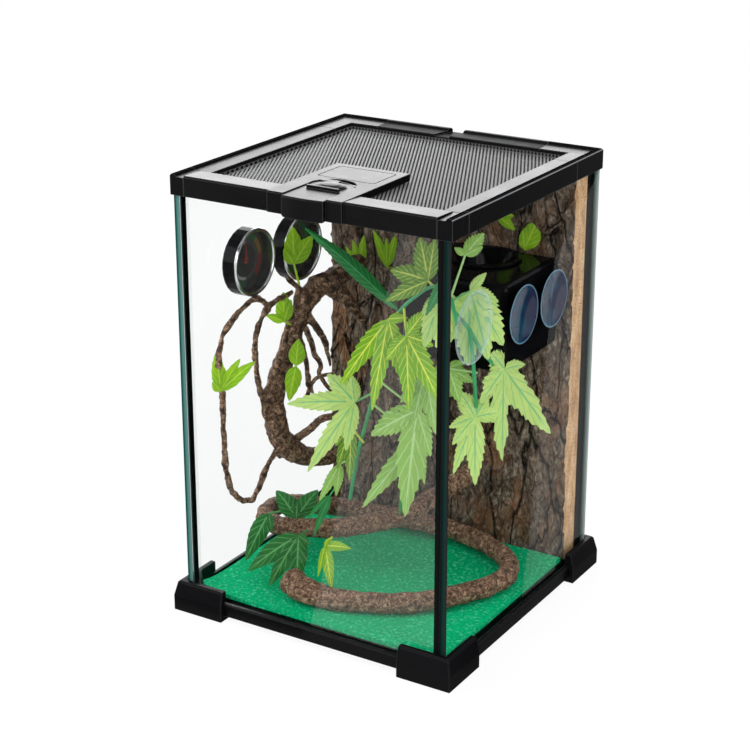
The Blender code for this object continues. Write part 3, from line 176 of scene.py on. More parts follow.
class Paint(Nodes):
    """A material built up round its Principled shader."""

    def __init__(self, name, roughness=0.5, metallic=0.0, specular=0.5):
        self.material = bpy.data.materials.new(name)
        self.material.use_nodes = True
        super().__init__(self.material.node_tree)
        self.shader = self.tree.nodes["Principled BSDF"]
        self.body = self.shader.outputs["BSDF"]
        self.set("Roughness", roughness)
        self.set("Metallic", metallic)
        self.set("Specular IOR Level", specular)
        self.place = self.add("ShaderNodeTexCoord").outputs["Object"]

    def set(self, name, value):
        self.feed(self.shader.inputs[name], value)

    def normal(self):
        return self.add("ShaderNodeNewGeometry").outputs["Normal"]

    def parts(self, vector=None):
        """X, Y and Z of a vector, or else of the object coordinates."""
        return tuple(self.add("ShaderNodeSeparateXYZ", {"Vector": vector or self.place}).outputs)

    def vector(self, operation, a, b, output="Vector"):
        return self.add("ShaderNodeVectorMath", {0: a, 1: b}, operation=operation).outputs[output]

    def stretched(self, scale):
        """Object coordinates, scaled by a different amount along each axis."""
        return self.add("ShaderNodeMapping", {"Vector": self.place, "Scale": scale}).outputs["Vector"]

    def noise(self, scale, detail=4.0, rough=0.5, vector=None, distortion=0.0):
        node = self.add("ShaderNodeTexNoise", {
            "Vector": vector or self.place, "Scale": scale, "Detail": detail, "Roughness": rough,
            "Distortion": distortion,
        })
        return node.outputs["Fac"]

    def cells(self, scale, vector=None):
        """Distance to the nearest border between cells."""
        inputs = {"Vector": vector or self.place, "Scale": scale}
        return self.add("ShaderNodeTexVoronoi", inputs, feature="DISTANCE_TO_EDGE").outputs["Distance"]

    def ramp(self, value, *stops, steps=False):
        """A colour ramp with stops of (position, colour or grey), smooth or in steps."""
        node = self.add("ShaderNodeValToRGB", {"Fac": value})
        if steps:
            node.color_ramp.interpolation = "CONSTANT"
        while len(node.color_ramp.elements) < len(stops):
            node.color_ramp.elements.new(1.0)
        for element, (position, tone) in zip(node.color_ramp.elements, stops):
            element.position = position
            element.color = opaque(tone)
        return node.outputs["Color"]

    def spread(self, value, low, high):
        """Map 0..1 to low..high, and go no further."""
        inputs = {"Value": value, "To Min": low, "To Max": high}
        return self.add("ShaderNodeMapRange", inputs).outputs["Result"]

    def share(self, value, low, high):
        """Map low..high to 0..1, and go no further."""
        inputs = {"Value": value, "From Min": low, "From Max": high}
        return self.add("ShaderNodeMapRange", inputs).outputs["Result"]

    def mix(self, share, a, b, mode="MIX"):
        node = self.add("ShaderNodeMix", {0: share}, data_type="RGBA", blend_type=mode)
        self.feed_tone(node.inputs[6], a)
        self.feed_tone(node.inputs[7], b)
        return node.outputs[2]

    def colour(self, value):
        self.feed_tone(self.shader.inputs["Base Color"], value)

    def mottle(self, scale, detail, dark, light):
        """A colour that drifts between two tones."""
        self.colour(self.mix(self.noise(scale, detail), dark, light))

    def rough(self, scale, detail, low, high):
        """A roughness that drifts between two values."""
        self.set("Roughness", self.spread(self.noise(scale, detail), low, high))

    def bump(self, height, strength, distance, edge=0.0):
        node = self.add("ShaderNodeBump", {"Height": height, "Strength": strength, "Distance": distance})
        if edge:
            rounded = self.add("ShaderNodeBevel", {"Radius": edge}, samples=6)
            self.feed(node.inputs["Normal"], rounded.outputs["Normal"])
        self.set("Normal", node.outputs["Normal"])

    def finish(self, shader):
        """The material, with this shader as its surface."""
        self.feed(self.tree.nodes["Material Output"].inputs["Surface"], shader)
        return self.material


def moulded_plastic(name, tone, roughness, specular, grain=0.12, border=None):
    """Black moulded plastic with a fine grain, faint handling marks and a painted highlight along its edges.
    """
    paint = Paint(name)
    rounded = paint.add("ShaderNodeBevel", {"Radius": EDGE_RADIUS}, samples=8).outputs["Normal"]
    flat = paint.normal()
    turned = paint.vector("DOT_PRODUCT", rounded, flat, "Value")
    body = paint.mix(paint.noise(38, 3), tuple(0.72 * c for c in tone), tone)
    # Painted highlight: near the edges, where the rounded normal turns away from the flat one, the colour is
    # lightened to a grey
    body = paint.mix(paint.ramp(turned, (0.86, 1), (0.985, 0)), body, EDGE_HIGHLIGHT)
    level = paint.spread(paint.parts(flat)[0], specular, 0.12 * specular)
    if border == "screen":
        body = paint.mix(screen_border(paint), body, SCREEN_GREY)
    if border == "groove":
        channel, ridge = rail_channel(paint)
        level = paint.times(paint.minus(1.0, channel), level)
        # Painted highlight: the frame's outer ridge is lightened to a grey
        body = paint.mix(ridge, body, RIDGE_HIGHLIGHT)
    paint.colour(body)
    paint.set("Specular IOR Level", level)
    paint.rough(55, 5, roughness - 0.06, roughness + 0.08)
    paint.bump(paint.noise(2600, 2), grain, 0.0001, edge=EDGE_RADIUS)
    return paint.material


def screen_border(paint):
    """1 on the stripes that the screen's bars press into the lid frame's walls and its right strip."""
    x, y, z = paint.parts()
    angle = math.radians(SCREEN_ANGLE)
    place = paint.plus(paint.times(x, math.sin(angle)), paint.times(y, math.cos(angle)))
    turn = paint.math("FRACT", paint.plus(paint.math("DIVIDE", place, SCREEN_PITCH), 0.5))
    bar = paint.below(paint.absolute(paint.minus(turn, 0.5)), SCREEN_BAR / SCREEN_PITCH / 2)
    reach = paint.larger(paint.absolute(x), paint.absolute(y))
    near = paint.below(reach, SCREEN_BOX[1].x + BORDER_REACH)
    wall = paint.below(z, SCREEN_BOX[1].z + BORDER_RISE)
    right = paint.above(x, SCREEN_BOX[1].x - BORDER_OVERLAP)
    return paint.times(bar, paint.times(near, paint.larger(wall, right)))


def rail_channel(paint):
    """1 in the dull channel round the top of the frame, and 1 on the ridge outside it, which takes a painted
    highlight.
    """
    x, y, z = paint.parts()
    reach = paint.larger(paint.absolute(x), y)
    top = paint.above(z, RAIL_TOP - RAIL_SKIN)
    ridge = paint.above(reach, RAIL_REACH - RIDGE_WIDTH)
    outer = paint.above(reach, RAIL_REACH - CHANNEL_WIDTH)
    return paint.times(top, paint.minus(outer, ridge)), paint.times(top, ridge)


def clear_face(paint, tint, ior):
    """A polished see-through face: it mirrors by angle where it is entered, and only there."""
    clear = paint.add("ShaderNodeBsdfTransparent", {"Color": opaque(tint)}).outputs["BSDF"]
    gloss = paint.add("ShaderNodeBsdfGlossy", {"Color": opaque(1.0), "Roughness": 0.01}).outputs["BSDF"]
    mirror = paint.add("ShaderNodeFresnel", {"IOR": ior}).outputs["Fac"]
    entered = paint.minus(1.0, paint.add("ShaderNodeNewGeometry").outputs["Backfacing"])
    return paint.blend(paint.times(mirror, entered), clear, gloss)


def tank_glass(name, side, ior, front, rear, bond=1.0, seam=1.0):
    """Clear float glass: it shows what is behind it and the lights in it; its ends have the glass's green
    with painted glow and painted shade.

    side is the number of the axis that the clear faces look along. Past bond along X, and on the inner side
    past seam along Y, sealant shows in place of a clear face.
    """
    paint = Paint(name, roughness=0.45, specular=0.03)
    x, y, _ = paint.parts()
    low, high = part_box(name)
    facing = paint.above(paint.absolute(paint.parts(paint.normal())[side]), 0.9)
    facing = paint.times(facing, paint.below(x, bond))
    sealed = paint.times(paint.below(x, (low.x + high.x) / 2), paint.above(y, seam))
    facing = paint.times(facing, paint.minus(1.0, sealed))
    along = paint.plus(paint.share(x, low.x, high.x), paint.spread(paint.noise(30, 3), -0.06, 0.06))
    # The ends' colour is the glass's green with painted glow and painted shade along them
    paint.colour(paint.mix(paint.above(y, 0.0), paint.ramp(along, *front), paint.ramp(along, *rear)))
    return paint.finish(paint.blend(facing, paint.body, clear_face(paint, (0.994, 0.998, 0.996), ior)))


def crystal_paint():
    """The clear window of a gauge."""
    paint = Paint("gauge_crystal", roughness=0.05)
    paint.mottle(60, 2, (0.80, 0.82, 0.84), (0.90, 0.92, 0.93))
    return paint.finish(paint.blend(0.98, paint.body, clear_face(paint, (0.97, 0.98, 0.98), 1.40)))


def wheel_place(paint, centre):
    """Distance from a line along X through a centre, and the place across it."""
    _, y, z = paint.parts(paint.vector("SUBTRACT", paint.place, centre))
    return paint.math("SQRT", paint.plus(paint.times(y, y), paint.times(z, z))), y, z


def clear_vinyl(name, centre, radius, tones, cover):
    """Soft clear plastic: its tint covers more of the clear face outwards, painted reflection shifts the tint
    from front to rear, and a painted highlight brightens the lip.
    """
    paint = Paint(name, roughness=0.08, specular=0.12)
    reach, y, _ = wheel_place(paint, centre)
    share = paint.math("DIVIDE", reach, radius)
    front, rear, lip = tones
    side = paint.spread(paint.math("DIVIDE", y, radius), 0.5, 1.0)
    swirl = paint.times(paint.minus(paint.noise(95, 4, distortion=2.0), 0.5), 1.6)
    # Painted reflection: the tint shifts from the front side to the rear side
    body = paint.ramp(paint.plus(side, swirl), (0.25, front), (0.75, rear))
    # Painted highlight on the lip
    paint.colour(paint.mix(paint.ramp(share, (0.94, 0), (0.985, 1)), body, lip))
    clear = clear_face(paint, (0.96, 0.98, 0.98), 1.14)
    return paint.finish(paint.blend(paint.ramp(share, *cover), clear, paint.body))


def clear_sealant_paint():
    """Clear silicone: milky where it is thick, with cloudy streaks, and dark in the joint of the panes."""
    paint = Paint("clear_silicone", roughness=0.3, specular=0.1)
    joint = paint.below(paint.parts()[1], INNER_FRONT)
    paint.colour(paint.mix(joint, (0.60, 0.68, 0.65), (0.020, 0.040, 0.037)))
    milky = paint.spread(paint.noise(60, 4), 0.02, 0.12)
    clear = paint.add("ShaderNodeBsdfTransparent", {"Color": opaque((0.97, 0.98, 0.98))}).outputs["BSDF"]
    return paint.finish(paint.blend(paint.larger(joint, milky), clear, paint.body))


def screen_paint():
    """Coated bars of the lid's screen, made palest at their left end by a painted sheen."""
    paint = Paint("screen_bars", specular=0.12)
    across = paint.share(paint.parts()[0], *(corner.x for corner in SCREEN_BOX))
    # Painted sheen: the bars' grey turns paler towards the left end
    paint.mottle(240, 3, paint.mix(across, SCREEN_SHEEN, SCREEN_GREY), SCREEN_GREY)
    paint.rough(400, 3, 0.45, 0.60)
    return paint.material


def felt_paint():
    """Green needle felt: short tangled fibres with pale flecks and painted shade between the fibres."""
    paint = Paint("green_felt", roughness=0.95, specular=0.05)
    fibre = paint.noise(520, 5, 0.7, distortion=1.2)
    flecks = paint.ramp(paint.noise(430, 2, 0.6), (0.52, 0), (0.66, 1))
    base = paint.mix(paint.noise(34, 4), (0.000, 0.430, 0.165), (0.000, 0.560, 0.230))
    # Painted shade in the low places between the fibres
    shaded = paint.mix(paint.ramp(fibre, (0.35, 0.7), (0.6, 0)), base, (0.0, 0.26, 0.090))
    paint.colour(paint.mix(paint.times(flecks, 0.50), shaded, (0.14, 0.90, 0.54)))
    paint.bump(paint.plus(fibre, flecks), 0.9, 0.0009)
    return paint.material


def bark_paint():
    """Furrowed cork bark: mottled grey-brown plates, rusty patches and cracks painted black as shade in the
    furrows.
    """
    paint = Paint("cork_bark", specular=0.15)
    tall = paint.stretched((1.0, 1.0, 0.50))
    upright = paint.stretched((1.0, 1.0, 0.28))
    plates = paint.ramp(
        paint.noise(230, 10, 0.8, vector=tall, distortion=1.2),
        (0.38, (0.036, 0.024, 0.016)), (0.47, (0.125, 0.090, 0.064)), (0.54, (0.205, 0.160, 0.120)),
        (0.64, (0.430, 0.360, 0.285)),
    )
    rust = paint.ramp(paint.noise(40, 5, 0.6, vector=tall), (0.50, 0), (0.64, 1))
    rusty = paint.mix(paint.times(rust, 0.65), plates, (0.270, 0.125, 0.055))
    swirl = paint.add("ShaderNodeTexNoise", {"Vector": upright, "Scale": 70.0, "Detail": 7.0})
    swirl = swirl.outputs["Color"]
    bent = paint.vector("ADD", upright, paint.vector("MULTIPLY", swirl, (0.020, 0.020, 0.020)))
    # Painted shade: the cracks, which the bump also sinks, are painted near black
    wide = paint.ramp(paint.cells(36, bent), (0.004, 0.02), (0.050, 1))
    thin = paint.ramp(paint.cells(190, bent), (0.0, 0.50), (0.10, 1))
    cracks = paint.mix(1.0, wide, thin, "MULTIPLY")
    paint.colour(paint.mix(1.0, rusty, cracks, "MULTIPLY"))
    paint.rough(180, 4, 0.75, 0.98)
    paint.bump(paint.plus(paint.noise(420, 8, 0.75, vector=tall), cracks), 1.0, 0.0020)
    return paint.material


def cut_cork_paint():
    """The cork's cut edge: tan, with dark pores and a faint grain."""
    paint = Paint("cut_cork", roughness=0.9, specular=0.15)
    grain = paint.noise(160, 6, 0.6, vector=paint.stretched((1.0, 1.0, 0.35)))
    pores = paint.ramp(paint.noise(760, 4, 0.8), (0.34, (0.22, 0.12, 0.06)), (0.52, 1))
    tone = paint.ramp(grain, (0.32, (0.38, 0.22, 0.11)), (0.5, (0.58, 0.37, 0.20)), (0.7, (0.74, 0.53, 0.33)))
    paint.colour(paint.mix(1.0, tone, pores, "MULTIPLY"))
    paint.bump(paint.plus(grain, pores), 0.5, 0.0006)
    return paint.material


def wood_paint(name, dark, middle, light, grain):
    """Scaly bark on a thin branch: three tones, pale scales darkened at their borders by painted shade, fine
    ridges and black creases of painted shade.
    """
    paint = Paint(name, specular=0.4)
    ridges = paint.noise(grain, 8, 0.72, distortion=0.8)
    tone = paint.ramp(ridges, (0.38, dark), (0.49, middle), (0.62, light))
    # Painted shade: the borders of the scales and the creases, which the bump also sinks, are darkened
    scales = paint.ramp(paint.cells(grain * 2.6), (0.02, 0.45), (0.16, 1))
    creases = paint.ramp(paint.cells(grain * 0.8), (0.0, 0.20), (0.05, 1))
    marks = paint.mix(1.0, scales, creases, "MULTIPLY")
    paint.colour(paint.mix(0.9, tone, marks, "MULTIPLY"))
    paint.rough(grain * 3, 4, 0.42, 0.75)
    paint.bump(paint.plus(paint.noise(grain * 3.2, 7, 0.7), marks), 1.0, 0.0016)
    return paint.material


def leaf_paint(name, blade, shade, vein, veins):
    """A printed leaf: rib and veins by the leaf's own coordinates, one half darkened by painted shade, and
    light through it.
    """
    paint = Paint(name, roughness=0.45, specular=0.3)
    along, edge, _ = paint.parts(paint.add("ShaderNodeTexCoord").outputs["UV"])
    across = paint.absolute(paint.minus(edge, 0.5))
    wave = paint.minus(paint.times(along, veins), paint.times(across, 3.2))
    saw = paint.absolute(paint.minus(paint.math("FRACT", wave), 0.5))
    side = paint.ramp(saw, (0.03, 1), (0.11, 0))
    rib = paint.ramp(across, (0.025, 1), (0.06, 0))
    lines = paint.larger(rib, paint.times(side, 0.75))
    body = paint.mix(paint.noise(90, 4), shade, blade)
    # Painted shade: one half of each lobe, on one side of the rib, is darker
    body = paint.mix(paint.times(paint.below(edge, 0.5), 0.30), body, shade)
    tone = paint.mix(paint.times(lines, 0.8), body, vein)
    paint.colour(tone)
    paint.bump(paint.plus(paint.noise(700, 3), paint.times(lines, -0.8)), 0.3, 0.0004)
    through = paint.add("ShaderNodeBsdfTranslucent", {"Color": tone}).outputs["BSDF"]
    return paint.finish(paint.blend(0.32, paint.body, through))


def polished_paint(name, still=False):
    """Polished black plastic with faint scuffs; still takes the shine off the side towards the right pane."""
    paint = Paint(name, specular=0.05)
    if still:
        paint.set("Specular IOR Level", paint.times(paint.below(paint.parts(paint.normal())[0], 0.8), 0.05))
    paint.mottle(60, 3, (0.002, 0.002, 0.0025), (0.005, 0.005, 0.006))
    paint.rough(42, 5, 0.05, 0.16)
    return paint.material


def dial_paint(name, centre, bands):
    """A gauge face: coloured bands and a ring of ticks, by angle and radius round its centre."""
    paint = Paint(name, roughness=0.45, specular=0.4)
    radius, y, z = wheel_place(paint, centre)
    turn = paint.spread(paint.math("DIVIDE", paint.math("ARCTAN2", y, z), math.pi), 0.5, 1.0)
    bands_on = paint.times(paint.above(radius, 0.0148), paint.below(radius, 0.0192))
    ticks = paint.below(paint.math("FRACT", paint.times(turn, 40.0)), 0.18)
    ticks_on = paint.times(paint.above(radius, 0.0118), paint.below(radius, 0.0140))
    face = paint.mix(bands_on, DIAL_BLACK, paint.ramp(turn, *bands, steps=True))
    paint.colour(paint.mix(paint.times(ticks, ticks_on), face, (0.30, 0.30, 0.29)))
    return paint.material


def plain_paint(name, mottle, rough=None, bump=None, **settings):
    """A material of two tones, with a drift of roughness and a bump (scale, detail, strength, distance)."""
    paint = Paint(name, **settings)
    paint.mottle(*mottle)
    if rough:
        paint.rough(*rough)
    if bump:
        paint.bump(paint.noise(*bump[:2]), *bump[2:])
    return paint.material


# Meshes

def add_object(name, data):
    obj = bpy.data.objects.new(name, data)
    bpy.context.scene.collection.objects.link(obj)
    return obj


def to_mesh(name, bm, *paints):
    mesh = bpy.data.meshes.new(name)
    bm.to_mesh(mesh)
    bm.free()
    for paint in paints:
        mesh.materials.append(paint)
    return mesh


def add_piece(name, bm, paints, slot, body="tank", smooth=True, stands_for=()):
    """Turn a bmesh into a named piece that rides on a body of the frame."""
    mesh = to_mesh(name, bm, *(paints if isinstance(paints, list) else [paints]))
    if smooth:
        mesh.shade_smooth()
        mesh.set_sharp_from_angle(angle=math.radians(SHARP_ANGLE))
    obj = add_object(name, mesh)
    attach(obj, body)
    if stands_for:
        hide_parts(*stands_for)
    return obj


def skin_rings(bm, rings):
    """Skin rings that have as many points each, close both ends, and give the new faces."""
    loops = [[bm.verts.new(point) for point in ring] for ring in rings]
    count = len(loops[0])
    faces = []
    for low, high in zip(loops, loops[1:]):
        for i in range(count):
            j = (i + 1) % count
            faces.append(bm.faces.new((low[i], low[j], high[j], high[i])))
    faces.append(bm.faces.new(list(reversed(loops[0]))))
    faces.append(bm.faces.new(loops[-1]))
    return faces


def add_grid(bm, columns, rows, place, flipped=False):
    """Rows of points, each placed by its column and row, with the faces between them."""
    grid = [[bm.verts.new(place(i, j)) for i in range(columns + 1)] for j in range(rows + 1)]
    for low, high in zip(grid, grid[1:]):
        for i in range(columns):
            corners = (low[i], low[i + 1], high[i + 1], high[i])
            bm.faces.new(corners[::-1] if flipped else corners)
    return grid


def add_bar(bm, plan, low, high):
    """A prism over a plan of four corners."""
    skin_rings(bm, [[(x, y, z) for x, y in plan] for z in (low, high)])


def add_box(bm, near, far, low, high):
    """A prism over a rectangle between two corners."""
    add_bar(bm, (near, (far[0], near[1]), far, (near[0], far[1])), low, high)


def turned_piece(name, profile, centre, axis, paint, slot, steps=64, **settings):
    """A profile of (radius, height), turned about an axis; a radius of 0 is a pole."""
    bm = bmesh.new()
    turn = Vector(axis).to_track_quat("Z", "Y").to_matrix()
    loops = []
    for radius, height in profile:
        loop = []
        for i in range(steps if radius else 1):
            angle = 2 * math.pi * i / steps
            point = Vector((radius * math.cos(angle), radius * math.sin(angle), height))
            loop.append(bm.verts.new(Vector(centre) + turn @ point))
        loops.append(loop)
    pairs = list(zip(loops, loops[1:]))
    if len(loops[0]) > 1:
        pairs.append((loops[-1], loops[0]))
    for low, high in pairs:
        for i in range(steps):
            j = (i + 1) % steps
            if len(low) == 1:
                bm.faces.new((low[0], high[j], high[i]))
            elif len(high) == 1:
                bm.faces.new((low[i], low[j], high[0]))
            else:
                bm.faces.new((low[i], low[j], high[j], high[i]))
    bmesh.ops.recalc_face_normals(bm, faces=bm.faces)
    add_piece(name, bm, paint, slot, **settings)


def smooth_route(points, step):
    """Points about one step apart on a smooth curve through the given ones."""
    route = [Vector(p) for p in points]
    ends = [2 * route[0] - route[1]] + route + [2 * route[-1] - route[-2]]
    result = []
    for a, b, c, d in zip(ends, ends[1:], ends[2:], ends[3:]):
        count = max(1, round((c - b).length / step))
        for i in range(count):
            t = i / count
            result.append(0.5 * (2 * b + (c - a) * t + (2 * a - 5 * b + 4 * c - d) * t * t
                                 + (3 * b - 3 * c + d - a) * t ** 3))
    result.append(route[-1])
    return result


def ahead_at(route, i):
    """The direction of a route at one of its points."""
    return (route[min(i + 1, len(route) - 1)] - route[max(i - 1, 0)]).normalized()


def mm(*points):
    """Points written in millimetres."""
    return [Vector(p) * 0.001 for p in points]


def organic_copy(node, voxel, relief, layers):
    """A fine copy of a CAD solid, its facets melted into a knobbly skin of noise layers (scale, share)."""
    copy = add_object(node + "_skin", NODES[node].data.copy())
    remesh = copy.modifiers.new("melt", "REMESH")
    remesh.mode = "VOXEL"
    remesh.voxel_size = voxel
    relax = copy.modifiers.new("relax", "SMOOTH")
    relax.factor = 0.6
    relax.iterations = 2
    bpy.context.view_layer.update()
    melted = bpy.data.meshes.new_from_object(copy.evaluated_get(bpy.context.evaluated_depsgraph_get()))
    bpy.data.objects.remove(copy)
    bm = bmesh.new()
    bm.from_mesh(melted)
    bpy.data.meshes.remove(melted)
    bm.normal_update()
    moves = []
    for vertex in bm.verts:
        push = sum(share * noise.noise(vertex.co * scale) for scale, share in layers)
        moves.append(vertex.normal * (push * relief))
    for vertex, move in zip(bm.verts, moves):
        vertex.co += move
    return bm


# Leaves

VIEWER_SIDE = Vector((0.49, -0.80, 0.34)).normalized()
PANE_SIDE = Vector((0.991, -0.132, -0.002)).normalized()
BARK_SIDE = Vector((0.2, -0.95, 0.2)).normalized()
BLADE = (-1.0, -0.5, 0.0, 0.5, 1.0)
BLADE_FOLD = 0.22
LOBE_STEP = 0.00025
STALK_RADIUS = 0.0007
STALK_SIDES = 6


def skin_blade(bm, uv_layer, lines):
    """Skin lines of (share of the length, points across), with the leaf's own coordinates."""
    for (t0, low), (t1, high) in zip(lines, lines[1:]):
        for k in range(len(BLADE) - 1):
            face = bm.faces.new((low[k], low[k + 1], high[k + 1], high[k]))
            near = 0.5 + BLADE[k] / 2
            far = 0.5 + BLADE[k + 1] / 2
            for loop, place in zip(face.loops, ((t0, near), (t0, far), (t1, far), (t1, near))):
                loop[uv_layer].uv = place


def add_lobe(bm, uv_layer, hub, normal, lobe, teeth, droop, ragged, twist):
    """One serrated lobe: rows from the hub to the tip, raised along the rib and drooping at the end."""
    heading, length, width = lobe
    length *= 0.001
    up = (Vector((0, 0, 1)) - normal * normal.z).normalized()
    angle = math.radians(heading)
    out = up.cross(normal) * math.cos(angle) + up * math.sin(angle)
    side = normal.cross(out)
    rows = teeth * 2
    lines = []
    for i in range(rows + 1):
        t = i / rows
        half = length * width / 2 * (math.sin(math.pi * min(1.0, t ** 0.72)) ** 0.85 + 0.05) * (1 - 0.12 * t)
        if i == rows:
            half = length * 0.003
        tooth = 1 + ragged * (1.4 if i % 2 else -0.6)
        rib = hub + out * (length * t) - Vector((0, 0, droop * length * t * t)) + normal * (length * 0.05 * t)
        line = []
        for share in BLADE:
            edge = tooth if abs(share) == 1.0 and 0 < i < rows else 1.0
            lean = 3.5 * ragged * half * abs(share) if i % 2 else 0.0
            offset = side * (half * share * edge) - normal * (half * BLADE_FOLD * abs(share) ** 1.5)
            ripple = normal * (half * 0.16 * math.sin(t * 17 + share * 2.1 + twist))
            line.append(bm.verts.new(rib + offset + out * lean + ripple * abs(share)))
        lines.append((t, line))
    skin_blade(bm, uv_layer, lines)


def add_stalk(bm, uv_layer, start, end):
    """A thin round stalk from a leaf's hub to its stem, in the plain colour of the blade."""
    ahead = (end - start).normalized()
    side = ahead.orthogonal().normalized()
    other = ahead.cross(side)
    rings = []
    for point, size in ((start, STALK_RADIUS), (end, STALK_RADIUS * 1.25)):
        angles = [2 * math.pi * k / STALK_SIDES for k in range(STALK_SIDES)]
        rings.append([point + (side * math.cos(angle) + other * math.sin(angle)) * size for angle in angles])
    for face in skin_rings(bm, rings):
        for loop in face.loops:
            loop[uv_layer].uv = (0.5, 0.5)


def make_leaf(name, paint, slot, stands_for, hub, stem, lobes, normal=VIEWER_SIDE, teeth=9, droop=0.10,
              ragged=0.10):
    """A leaf on a stalk to its stem; a lobe is (heading in degrees, length in mm, width by length)."""
    hub, stem = mm(hub, stem)
    bm = bmesh.new()
    uv_layer = bm.loops.layers.uv.new("leaf")
    for k, lobe in enumerate(lobes):
        add_lobe(bm, uv_layer, hub + normal * (LOBE_STEP * k), normal, lobe, teeth, droop, ragged, k * 1.7)
    add_stalk(bm, uv_layer, hub, stem)
    add_piece(name, bm, paint, slot, stands_for=stands_for)


# Finishes shared by several pieces

FRAME_BLACK = moulded_plastic("frame_black", (0.0035, 0.0035, 0.0040), 0.27, 0.06, border="groove")
RAIL_BLACK = moulded_plastic("rail_black", (0.0035, 0.0035, 0.0040), 0.50, 0.03)
LID_BLACK = moulded_plastic("lid_black", (0.0045, 0.0045, 0.0050), 0.27, 0.07)
LID_FRAME_BLACK = moulded_plastic("lid_frame_black", (0.0045, 0.0045, 0.0050), 0.27, 0.07, border="screen")
FOOT_BLACK = moulded_plastic("foot_black", (0.0035, 0.0035, 0.0042), 0.40, 0.05, grain=0.30)
STEM_GREEN = plain_paint("moulded_stem", (120, 4, (0.008, 0.190, 0.060), (0.020, 0.340, 0.120)),
                         bump=(500, 4, 0.4, 0.0004), roughness=0.4, specular=0.45)
SEALANT = plain_paint("black_silicone", (90, 3, 0.003, 0.009), (120, 4, 0.35, 0.55), (260, 3, 0.25, 0.0004),
                      specular=0.04)
WEAVE = plain_paint("screen_weave", (300, 2, 0.004, 0.012), (500, 2, 0.5, 0.7), metallic=0.2, specular=0.2)
STEEL = plain_paint("steel_pin", (300, 3, (0.52, 0.52, 0.53), (0.66, 0.66, 0.67)), (700, 3, 0.18, 0.32),
                    metallic=1.0)
NEEDLE_RED = plain_paint("red_pointer", (200, 2, (0.30, 0.012, 0.010), (0.42, 0.03, 0.02)), roughness=0.35)
POLISHED = polished_paint("polished_black")
LEDGE_BLACK = polished_paint("ledge_black", still=True)
CHROME = plain_paint("bright_ring", (80, 3, (0.62, 0.63, 0.65), (0.80, 0.81, 0.83)), (200, 3, 0.10, 0.22),
                     metallic=1.0)
LIME_LEAF = leaf_paint("lime_leaf", (0.28, 0.54, 0.020), (0.13, 0.36, 0.012), (0.86, 0.90, 0.12), 7.0)
OLIVE_LEAF = leaf_paint("olive_leaf", (0.17, 0.35, 0.040), (0.085, 0.22, 0.020), (0.66, 0.74, 0.14), 7.0)
PALE_LEAF = leaf_paint("pale_leaf", (0.62, 0.78, 0.26), (0.46, 0.66, 0.17), (0.12, 0.48, 0.22), 5.0)
FRESH_LEAF = leaf_paint("fresh_leaf", (0.36, 0.58, 0.14), (0.20, 0.42, 0.07), (0.50, 0.72, 0.34), 6.0)
DEEP_LEAF = leaf_paint("deep_leaf", (0.025, 0.200, 0.035), (0.008, 0.095, 0.018), (0.14, 0.42, 0.14), 6.0)
STRAP_LEAF = leaf_paint("strap_leaf", (0.020, 0.260, 0.055), (0.010, 0.130, 0.028), (0.07, 0.40, 0.13), 12.0)
SPRIG_LEAF = leaf_paint("sprig_leaf", (0.32, 0.58, 0.012), (0.16, 0.40, 0.008), (0.50, 0.72, 0.06), 5.0)


# Pieces

def dress_nodes():
    """Give the CAD nodes that stay in view their finished materials."""
    # Colours along the ends of the panes, from one face to the other: the glass's own green, lightened by
    # painted glow and darkened by painted shade; near black where the ends are bonded
    bonded = ((0.0, (0.0015, 0.002, 0.002)), (1.0, (0.003, 0.004, 0.004)))
    left = ((0.0, (0.001, 0.038, 0.032)), (0.30, (0.002, 0.050, 0.042)), (0.50, (0.035, 0.130, 0.115)),
            (0.80, (0.080, 0.165, 0.155)))
    right = ((0.0, (0.0005, 0.008, 0.007)), (0.45, (0.0008, 0.022, 0.018)), (0.62, (0.012, 0.020, 0.019)),
             (1.0, (0.010, 0.012, 0.012)))
    rear = ((0.10, (0.002, 0.003, 0.003)), (0.30, (0.075, 0.120, 0.112)), (0.62, (0.20, 0.27, 0.26)),
            (1.0, (0.56, 0.64, 0.63)))
    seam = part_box("pane_rear")[0].y
    panes = (("pane_left", 0, 1.20, left, left), ("pane_right", 0, 1.12, right, rear, 1.0, seam),
             ("pane_front", 1, 1.45, bonded, bonded, INNER_X - BEAD_WIDTH),
             ("pane_rear", 1, 1.45, bonded, bonded), ("pane_floor", 2, 1.40, bonded, bonded))
    for name, *settings in panes:
        set_paint(name, tank_glass(name, *settings))
    clear_silicone = clear_sealant_paint()
    for name in NODES:
        if name.startswith("sealant"):
            set_paint(name, clear_silicone if name == "sealant_front_left" else SEALANT)
        if name.startswith(("base_rail", "top_corner", "top_rail")):
            set_paint(name, FRAME_BLACK)
        if name.startswith("foot_"):
            set_paint(name, FOOT_BLACK)
    for name in ("latch_housing", "latch_lever"):
        set_paint(name, LID_BLACK)
    set_paint("lid_frame", LID_FRAME_BLACK)
    set_paint("top_rail_rear", RAIL_BLACK)
    set_paint("latch_pin", STEEL)
    set_paint("feeder_ledge", LEDGE_BLACK)
    set_paint("plant_stems", STEM_GREEN)
    for gauge in ("thermometer", "hygrometer"):
        set_paint(gauge + "_needle", NEEDLE_RED)
        set_paint(gauge + "_case", POLISHED)


def set_paint(name, paint):
    obj = NODES[name]
    if not obj.material_slots:
        obj.data.materials.append(paint)
    for place in obj.material_slots:
        place.material = paint


